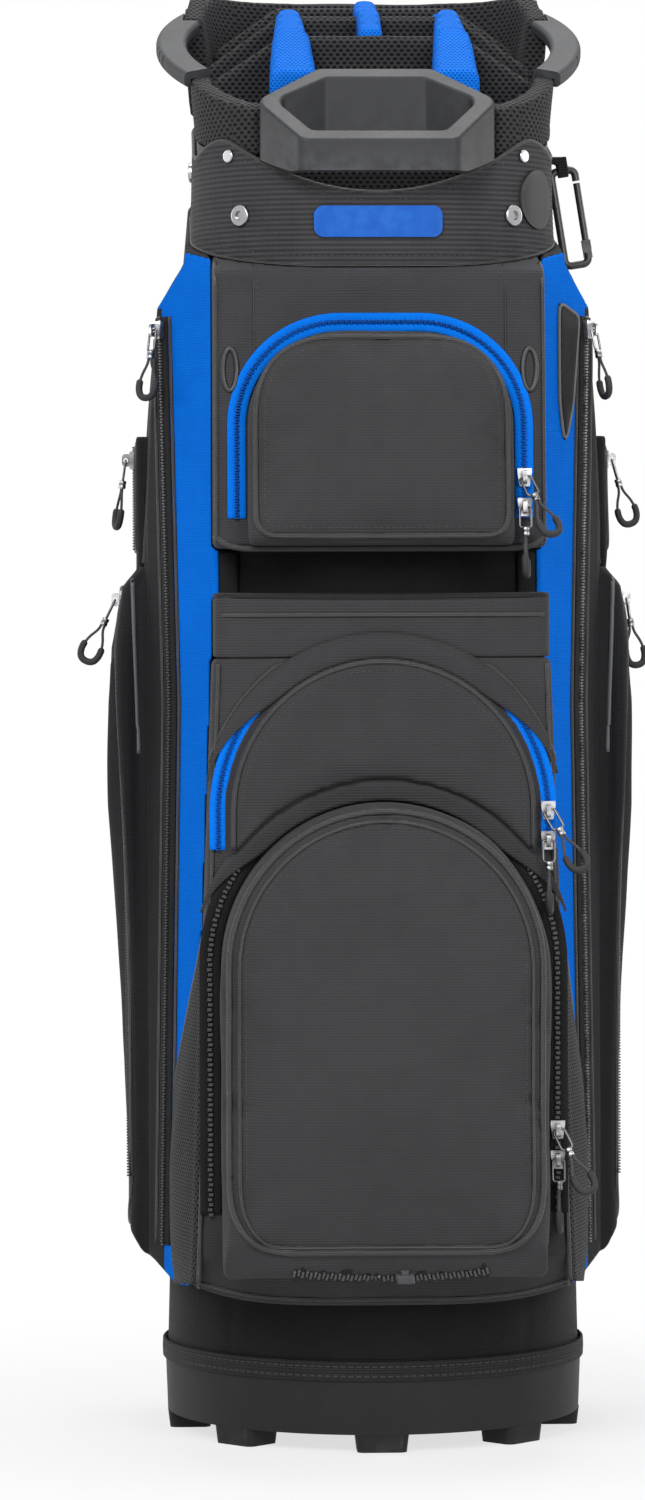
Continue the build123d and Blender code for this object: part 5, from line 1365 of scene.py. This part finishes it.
def slip_trim(on_slip):
    """Bound lip of the slip pocket and the seam below it."""
    half, corner, bend, front = YOKE_HALF - 1.6, 91.0, 8.4, -154.0
    quarter = [(bend * math.sin(t), bend * math.cos(t)) for t in np.linspace(0, math.pi / 2, 6)]
    lip = [(-half, -124.0, SLIP_TOP), (-half, -150.0, SLIP_TOP)]
    lip += [(-corner - c, front - s, SLIP_TOP) for s, c in quarter]
    lip += [(x, front - bend, SLIP_TOP - 1.0 * (1 - (x / corner) ** 2)) for x in np.linspace(-85, 85, 40)]
    lip += [(corner + s, front - c, SLIP_TOP) for s, c in quarter]
    lip += [(half, -150.0, SLIP_TOP), (half, -124.0, SLIP_TOP)]
    piping("slip_lip_binding", [Vector(p) for p in lip], [Vector((0, 0, 1))] * len(lip), 2.1, finish=WEBBING)
    seam = [(x, 509.5) for x in np.linspace(-97, 97, 66)]
    laid_piping("slip_seam_piping", MIDDLE_PLANE, seam, on_slip, 0.1, 1.6)
    seam = [(x, 515.5) for x in np.linspace(-95, 95, 66)]
    laid_stitches("slip_stitches", MIDDLE_PLANE, seam, on_slip)


def arch_trim(on_middle, on_cooler):
    """Piping and stitching of the two arched pocket faces."""
    face = even_line(arch_line(89.6, 370.0, MIDDLE_SPRING), 3.0)
    laid_piping("middle_face_piping", MIDDLE_PLANE, face, on_middle, 0.2, 2.0)
    face = even_line(arch_line(84.5, 384.0, MIDDLE_SPRING), 3.0)
    laid_stitches("middle_face_stitches", MIDDLE_PLANE, face, on_middle)
    welt = even_line(arch_line(107.8, MIDDLE_SPRING, 392.5), 3.0)[6:-6]
    laid_piping("middle_zip_welt", MIDDLE_PLANE, welt, on_middle, 0.2, 1.5)
    for label, inset, radius in (("cooler_face_piping", 4.5, 2.3), ("cooler_face_seam", 10.5, 1.4)):
        half = COOLER_HALF - inset
        foot = [(0, 168.0), (1.5, 155.0), (7, 143.0), (17, 134.0), (32, 128.5 + inset * 0.5)]
        foot = [(-half + x, y) for x, y in foot]
        loop = arch_line(half, 180.0, COOLER_SPRING, 60) + foot + [(-x, y) for x, y in reversed(foot)]
        laid_piping(label, MIDDLE_PLANE, even_line(loop, 3.0, True), on_cooler, 0.3, radius, True)
    face = even_line(arch_line(83.5, 176.0, COOLER_SPRING), 3.0)
    laid_stitches("cooler_stitches", MIDDLE_PLANE, face, on_cooler, 2.8, 1.4)


def foot_zip(on_cooler, on_middle):
    """Short coarse zip with a clasp under the cooler pocket, and the apron's hem."""
    line = [(x, 119.0 - 4.5 * (1 - (x / 60.0) ** 2)) for x in np.linspace(-55, 60, 58)]
    points, outs = lay_on(MIDDLE_PLANE, line, on_cooler + on_middle)
    points = smoothed_line(points, 3)
    ribbon = swept(points, outs, [(-6.0, -0.6), (6.0, -0.6), (6.0, 0.5), (-6.0, 0.5)])

    def one(i, point, axes):
        return small_block(point, axes, 1.6, 4.4, 0.2, 2.0, 0.6 * (-1) ** i, 0.4)

    teeth = chain_of(*even_spots(points, outs, 2.5), one)
    toothed_piece("cooler_foot_zip", ribbon, teeth, [BLACK_TAPE, TOOTH_PLASTIC])
    place = int(len(points) * 0.57)
    spot, axes = points[place], run_frames(points, outs)[place]
    body = small_block(spot, axes, 11.0, 8.0, 0.4, 3.6, 0, 1.0)
    neck = small_block(spot, axes, 5.0, 13.0, 0.4, 2.6, -1.0, 0.8)
    shape, faces, _ = gather([(0, body), (0, neck)])
    new_piece("cooler_foot_clasp", shape, faces, TOOTH_PLASTIC, smooth=False)
    hem = [(x, 96.5 + apron_rise(x)) for x in np.linspace(-111, 111, 74)]
    laid_piping("apron_hem", MIDDLE_PLANE, hem, on_middle, 0.1, 1.5)


def front_trim(yoke, upper, slip, middle, cooler):
    on_middle, on_cooler = surface_of(middle), surface_of(cooler)
    yoke_trim(surface_of(yoke), surface_of(upper))
    edge_trim(surface_of(yoke), on_middle)
    slip_trim(surface_of(slip))
    arch_trim(on_middle, on_cooler)
    foot_zip(on_cooler, on_middle)


def eyelets(yoke):
    """Oval rubber cable eyelets in the yoke."""
    on_yoke = surface_of(yoke)
    steps = ((0.98, 0.2), (0.7, 0.9), (0.3, 1.2), (0.02, 1.3))
    for label, side in (("left", -1), ("right", 1)):
        ring = [(side * 90.6 + 4.2 * math.cos(t), 108.0 + 12.6 * math.sin(t)) for t in around(32)]
        points, outs = lay_on(YOKE_PLANE, ring, on_yoke, 0.2)
        rim = swept(points, outs, round_profile(1.7, 10, 0.8), True)
        centre = sum(points, Vector()) / len(points)
        slit = [p * 0.95 + centre * 0.05 for p in points]
        disc = [centre + (p - centre) * share - outs[0] * deep for share, deep in steps for p in slit]
        plug = (disc, strip_faces(len(steps), len(points), False, True))
        shape, faces, _ = gather([(0, rim), (0, plug)])
        new_piece(label + "_eyelet", shape, faces, EYELET_RUBBER)


# Side pockets and blue gussets
def side_tracks(flip):
    marks = track_points(BLUE_PLANE, LONG_TRACK, flip)
    marks += track_points(POUCH_PLANE, POUCH_TRACK, flip)
    return marks + track_points(SMALL_PLANE, SMALL_TRACK, flip)


# Heights on the pouch, and how far it is filled out at each
POUCH_FILL = ((112, 150, 200, 270, 330, 390, 456, 490, 520, 540), (0, 0, 2.5, 5, 8, 11, 11.5, 10, 4, 0))
SMALL_PULL_DEPTH = 14.0


def side_pocket(side, flip):
    """Long block with its pouch, and the small pocket above, slack between their zips."""
    meshes = []
    tracks = side_tracks(flip)
    for number, (points, faces) in enumerate(solid_pieces("side_pocket_" + side)):
        mesh = rounded_mesh(points, faces, (2.7, 1.8)[number], 3)
        rest, normal = mesh_points(mesh), mesh_normals(mesh)
        if number == 1:
            rest[:, 2] -= 18.0 * np.clip((585.0 - rest[:, 2]) / 38.0, 0, 1)
        clear = ease_in(near(rest, tracks), 8.5, 26)
        out, depth, height = np.abs(rest[:, 0]), rest[:, 1], rest[:, 2]
        outward = ease_in(np.abs(normal[:, 0]), 0.1, 0.7) * (out > 118)
        seed = 3.0 + number
        soft = 2.0 * folds(rest, (80, 70, 120), seed) + 1.0 * folds(rest, (40, 28, 60), seed + 5) + 0.8
        drawn = np.zeros(len(rest))
        if number == 0:
            under_pull = ease_in(-np.abs(depth - SMALL_PULL_DEPTH), -24, -13)
            over = ease_in(out, 147, 151) * ease_in(-depth, -72, -50)
            over = over * (1 - under_pull * ease_in(height, 478, 505))
            soft += np.interp(height, *POUCH_FILL) * over
            drawn = 8.0 * ease_in(height, 526, 541) + 4.0 * under_pull * ease_in(height, 500, 520)
            drawn = drawn * (out > 144) * (height < 545)
        shift = outward * clear * soft - 0.2
        rest[:, 0] -= np.sign(rest[:, 0]) * drawn
        set_points(mesh, rest + normal * shift[:, None])
        meshes.append(mesh)
    return padded_piece(side + "_pocket_body", meshes, SIDE_CLOTH, "side_pocket_" + side)


def blue_gusset(side, flip):
    """Blue cloth strip, black beyond the long zip."""
    mesh, rest, normal = pattern_of("blue_panel_" + side, 1.5, 1)
    outer = ease_in(normal @ np.array(sided(BLUE_PLANE, flip).out()), 0.3, 0.9)
    clear = ease_in(near(rest, track_points(BLUE_PLANE, LONG_TRACK, flip)), 9, 22)
    shift = outer * clear * (0.5 * folds(rest, (50, 50, 70), 1.5) - 0.2) - 0.1
    set_points(mesh, rest + normal * shift[:, None])
    back = BLUE_PLANE.matrix.inverted()
    edges, heights = zip(*reversed(LONG_TRACK))

    def beyond(centre):
        spot = back @ mirrored(centre, flip)
        return 1 if spot.x < np.interp(spot.y, heights, edges) and spot.y < 700 else 0

    piece = sewn_piece(side + "_blue_gusset", [mesh], [BLUE_CLOTH, SIDE_CLOTH], mark=beyond)
    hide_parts("blue_panel_" + side)
    return piece


def corner_mesh(side, flip):
    """Mesh slip pocket from the front pocket's corner to the gusset, slack below and bound along its top."""
    columns, rows, wrap = 30, 48, 0.16
    seam = Vector((-124.9, -64.0))
    shape = []
    for i in range(rows):
        v = i / (rows - 1)
        for j in range(columns):
            u = j / (columns - 1)
            low = 109.0 - 12.5 * u
            z = low + v * (330.0 - 114.0 * u**0.9 - low)
            half = 102.0 + 14.0 * (484.0 - z) / 392.0
            corner = Vector((-half + 10.0, -154.0))
            turn_in = math.radians(55.0 - 55.0 * min(1.0, u / wrap))
            spot = corner + Vector((-math.cos(turn_in), -math.sin(turn_in))) * 10.9
            rest = max(0.0, (u - wrap) / (1 - wrap))
            spot = spot.lerp(seam, rest)
            slack = math.sin(math.pi * rest) ** 0.8 * math.sin(math.pi * (0.1 + 0.9 * v)) ** 0.7
            slack = slack * (7.5 + 1.5 * noise.noise(Vector((u * 3, v * 4, 2.0))))
            x = spot.x - slack
            shape.append(Vector((-x if flip else x, spot.y, z)))
    piece = new_piece(side + "_corner_mesh", shape, strip_faces(rows, columns), FINE_MESH)
    if not flip:
        piece.data.flip_normals()
    thicken(piece, 1.1, 0.0)
    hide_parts("mesh_pockets")
    away = Vector((1 if flip else -1, 0, 0))
    top = shape[-columns:]
    piping(side + "_corner_mesh_binding", top, [away] * len(top), 1.7)
    front = shape[::columns]
    piping(side + "_corner_mesh_seam", front, [away] * len(front), 1.6)


def side_trim(side, flip, pocket, gusset):
    """Piped pocket edges, pale streak on the pouch and welts beside the long zip."""
    sideways = Cloth_Plane((0, 0, 0), (-1, 0, 0), (0, 0, 1), flip)
    forward = Cloth_Plane((0, 0, 0), (0, -1, 0), (0, 0, 1), flip)
    on_side = surface_of(pocket)
    for label, right, low, high, radii, steps, radius in (
        ("_pouch_piping", 31.0, 128.0, 528.0, [24, 24, 30, 30], 10, 1.5),
        ("_small_pocket_piping", 17.0, 551.0, 616.0, [10, 10, 8, 8], 6, 1.3),
    ):
        edge = rounded_line([(right, high), (-66.0, high), (-66.0, low), (right, low)], radii, steps)
        laid_piping(side + label, sideways, even_line(edge, 4.0, True), on_side, 0.2, radius, True, 200.0)
    streak = [(-150.0, 536.0), (-149.0, 500.0), (-147.5, 460.0), (-146.5, 424.0)]
    points, outs = lay_on(forward, even_line(streak, 3.0), on_side, 0.1, 200.0)
    shape, faces = swept(points, outs, [(-1.3, -0.6), (1.3, -0.6), (1.3, 0.3), (-1.3, 0.3)])
    new_piece(side + "_reflective_welt", shape, faces, REFLECTIVE)
    over = surface_of(gusset) + on_side
    for label, gap in (("outer", -9.0), ("inner", 9.0)):
        line = even_line([(x + gap, y) for x, y in LONG_TRACK], 4.0)
        laid_piping(side + "_long_zip_" + label + "_welt", sided(BLUE_PLANE, flip), line, over, 0.0, 1.4)


def dark_patch(gusset):
    """Dark five-sided patch with pale piping on the right gusset."""
    place = sided(BLUE_PLANE, True)
    on_blue = surface_of(gusset)
    corners = [(26.0, 694.0), (51.0, 702.0), (51.0, 640.0), (45.0, 612.0), (34.0, 640.0)]
    outline = even_line(rounded_line(corners, [3, 3, 8, 3, 10], 5), 2.5, True)
    points, outs = lay_on(place, outline, on_blue, 0.0, 60.0, 0.0)
    out = place.out()
    count = len(points)
    centre = sum(points, Vector()) / count
    shape = [p + out * 0.1 for p in points] + [p + out * 1.1 for p in points]
    shape += [centre + (p - centre) * 0.6 + out * 1.4 for p in points] + [centre + out * 1.5]
    ring, tip = 2 * count, 3 * count
    faces = strip_faces(3, count, False, True)
    faces += [(ring + i, ring + (i + 1) % count, tip) for i in range(count)]
    new_piece("right_dark_patch", shape, faces, SIDE_CLOTH)
    piping("right_patch_piping", [p + out * 0.7 for p in points], outs, 1.1, True, REFLECTIVE)


# Divided top
def padded_set(name, node, voxel, rounds, swell, finish, seed):
    """Swollen cushions from the solids of a node."""
    meshes = []
    for number, (points, faces) in enumerate(solid_pieces(node)):
        mesh = rounded_mesh(points, faces, voxel, rounds)
        rest, normal = mesh_points(mesh), mesh_normals(mesh)
        high = ease_in(rest[:, 2], rest[:, 2].min() + 12, rest[:, 2].min() + 40)
        soft = swell * (0.7 + 0.5 * folds(rest, (26, 26, 26), seed + number)) * high
        set_points(mesh, rest + normal * soft[:, None])
        meshes.append(mesh)
    padded_piece(name, meshes, finish, node)


def rim_padding():
    """Mesh-covered rim, sewn along its foot and filled above."""
    meshes = []
    for number, (points, faces) in enumerate(solid_pieces("rim_pads")):
        mesh = rounded_mesh(points, faces, 2.6, 4)
        rest, normal = mesh_points(mesh), mesh_normals(mesh)
        low = rest[:, 2] < 822 + RISE * rest[:, 1]
        moved = filled(mesh, low, 3.0, 2.2, 10)
        uneven = normal * (0.8 * folds(rest, (34, 34, 30), 2.0 + number))[:, None]
        set_points(mesh, moved + np.where(low[:, None], 0.0, 1.0) * uneven)
        meshes.append(mesh)
    padded_piece("rim_padding", meshes, BLACK_MESH, "rim_pads")


def divider_lining():
    """Full-length cloth sheets between the wells."""
    columns, rows = 10, 30
    parts = []
    for number, (points, _) in enumerate(solid_pieces("divider_sheets")):
        box = np.array([tuple(p) for p in points]) / MM
        low, high = box.min(0), box.max(0)
        across = 1 if high[1] - low[1] > high[0] - low[0] else 0
        other = 1 - across
        middle = (low[other] + high[other]) / 2
        foot = box[np.abs(box[:, 2] - low[2]) < 1][:, across]
        head = box[np.abs(box[:, 2] - high[2]) < 1][:, across]
        shape = []
        for i in range(rows):
            v = i / (rows - 1)
            a = foot.min() + v * (head.min() - foot.min())
            b = foot.max() + v * (head.max() - foot.max())
            for j in range(columns):
                u = j / (columns - 1)
                slack = 1.1 * math.sin(math.pi * u) * math.sin(math.pi * v)
                spot = [0, 0, low[2] + v * (high[2] - low[2])]
                spot[across] = a + u * (b - a)
                spot[other] = middle + slack * noise.noise(Vector((number * 3.1, u * 2, v * 7)))
                shape.append(tuple(spot))
        parts.append((0, (shape, strip_faces(rows, columns))))
    points, faces, _ = gather(parts)
    piece = new_piece("divider_lining_sheets", points, faces, LINING)
    thicken(piece, 1.2, 0.0)
    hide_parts("divider_sheets")


# Rear strap and hook strap
def web_band(name, line, width):
    """Flat webbing along a (y, z) line at the middle of the rear."""
    points = [Vector((0, y, z)) for y, z in line]
    last = len(points) - 1
    outs = []
    for i in range(len(points)):
        along = (points[min(last, i + 1)] - points[max(0, i - 1)]).normalized()
        outs.append(along.cross(Vector((1, 0, 0))).normalized())
    half = width / 2
    upper = [(half, 0.8), (half - 1, 1.0), (-half + 1, 1.0), (-half, 0.8)]
    shape, faces = swept(points, outs, [(across, -out) for across, out in reversed(upper)] + upper)
    piece = new_piece(name, shape, faces, WEBBING)
    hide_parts("strap_webbing")


def strap_pad():
    """Padded grip with two stitched channels and a slight waist."""
    mesh, rest, normal = pattern_of("strap_pad", 2.8, 4)
    ends = (rest[:, 2] < STRAP_LOW + 9) | (rest[:, 2] > STRAP_HIGH - 9)
    moved = filled(mesh, ends, 3.5, 2.5, 10)
    share = np.clip((rest[:, 2] - STRAP_LOW) / (STRAP_HIGH - STRAP_LOW), 0, 1)
    waist = 3.0 * np.sin(math.pi * share) ** 2
    moved[:, 0] -= np.sign(moved[:, 0]) * waist * ease_in(np.abs(moved[:, 0]), 8, 28) * 0.6
    channel = 1.3 * np.exp(-((np.abs(rest[:, 0]) - 20.0) / 1.6) ** 2) * ease_in(normal[:, 1], 0.4, 0.9)
    uneven = 0.7 * folds(rest, (30, 30, 40), 8.0)
    set_points(mesh, moved + normal * (uneven - channel)[:, None])
    padded_piece("rear_strap_pad", [mesh], BLACK_MESH, "strap_pad")


def straight(start, end, count):
    """Points from a start, which is left out, to an end."""
    return list(zip(*(np.linspace(a, b, count)[1:] for a, b in zip(start, end))))


def strap_webbing():
    """Webbing from the pad round each ring, and the tab that holds the ring."""
    bend = 3.3
    for label, ring_z, edge_z, way in (("head", 728.0, STRAP_HIGH, 1), ("foot", 352.0, STRAP_LOW, -1)):
        edge_y = tube_size(edge_z)[1] / 2 + 13.0
        ring_y = tube_size(ring_z)[1] / 2 + 4.6
        bar = ring_z - way * 8.0
        line = [(edge_y + 6.0, edge_z - way * 2.0)]
        line += straight((edge_y + 6.2, edge_z), (ring_y + bend, bar - way * 1.5), 8)
        turns = np.linspace(0, math.pi * 1.05, 12)
        line += [(ring_y + bend * math.cos(t), bar + way * bend * math.sin(t)) for t in turns]
        line += straight((ring_y - 2.6, bar - way * 2), (edge_y + 3.0, edge_z + way * 14), 5)
        web_band("strap_" + label + "_webbing", line, 36.0)
        bar = ring_z + way * 8.0
        inner = ((-4.0, 14.0), (-3.6, 8.0), (-3.4, 3.0))
        outer = ((3.0, 3.0), (0.5, 9.0), (-1.6, 14.0))
        line = [(ring_y + y, bar + way * z) for y, z in inner]
        turns = np.linspace(0, math.pi, 10)
        line += [(ring_y - bend * math.cos(t), bar - way * bend * math.sin(t)) for t in turns]
        line += [(ring_y + y, bar + way * z) for y, z in outer]
        web_band("strap_" + label + "_tab", line, 34.0)


def hook_loop():
    mesh, _, _ = pattern_of("hook_strap", 0.8, 2)
    piece = sewn_piece("hook_loop", [mesh], WEBBING)
    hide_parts("hook_strap")


def dress_solids():
    """Finishes of the pieces shown as the solids themselves."""
    finishes = {
        "base_boot": BOOT_PLASTIC, "top_collar": COLLAR_PLASTIC, "front_handle": HANDLE_PLASTIC,
        "side_grip_left": GRIP_PLASTIC, "side_grip_right": GRIP_PLASTIC, "stay_rods": ROD_METAL,
        "cuff_studs": STUD_METAL, "badge_patches": BADGE_RUBBER, "hook_body": HOOK_PLASTIC,
        "hook_gate": HOOK_PLASTIC, "strap_rings": STUD_METAL,
    }
    for name, node in nodes.items():
        finish = SLIDER_METAL if name.startswith("slider_") else finishes.get(name)
        if finish is not None:
            node.data.materials.clear()
            node.data.materials.append(finish)


set_camera()
set_light()
set_floor()
for place in SLIDERS:
    zip_pull(*place)
dress_solids()
bag_tube()
cuff_band()
scoop_lining()
base_trim()
all_zips()
yoke_piece = front_yoke()
upper_piece = upper_pocket()
slip_piece = slip_pocket()
middle_piece = middle_pocket()
cooler_piece = cooler_pocket()
front_trim(yoke_piece, upper_piece, slip_piece, middle_piece, cooler_piece)
eyelets(yoke_piece)
for side, flip in SIDES:
    pocket_piece = side_pocket(side, flip)
    gusset_piece = blue_gusset(side, flip)
    corner_mesh(side, flip)
    side_trim(side, flip, pocket_piece, gusset_piece)
    if flip:
        dark_patch(gusset_piece)
padded_set("divider_bar_pads", "divider_bars", 2.4, 3, 0.6, BLACK_MESH, 1.0)
padded_set("divider_spine_pads", "divider_spines", 2.2, 4, 0.8, BLUE_MESH, 4.0)
rim_padding()
divider_lining()
strap_pad()
strap_webbing()
hook_loop()

bpy.context.view_layer.update()
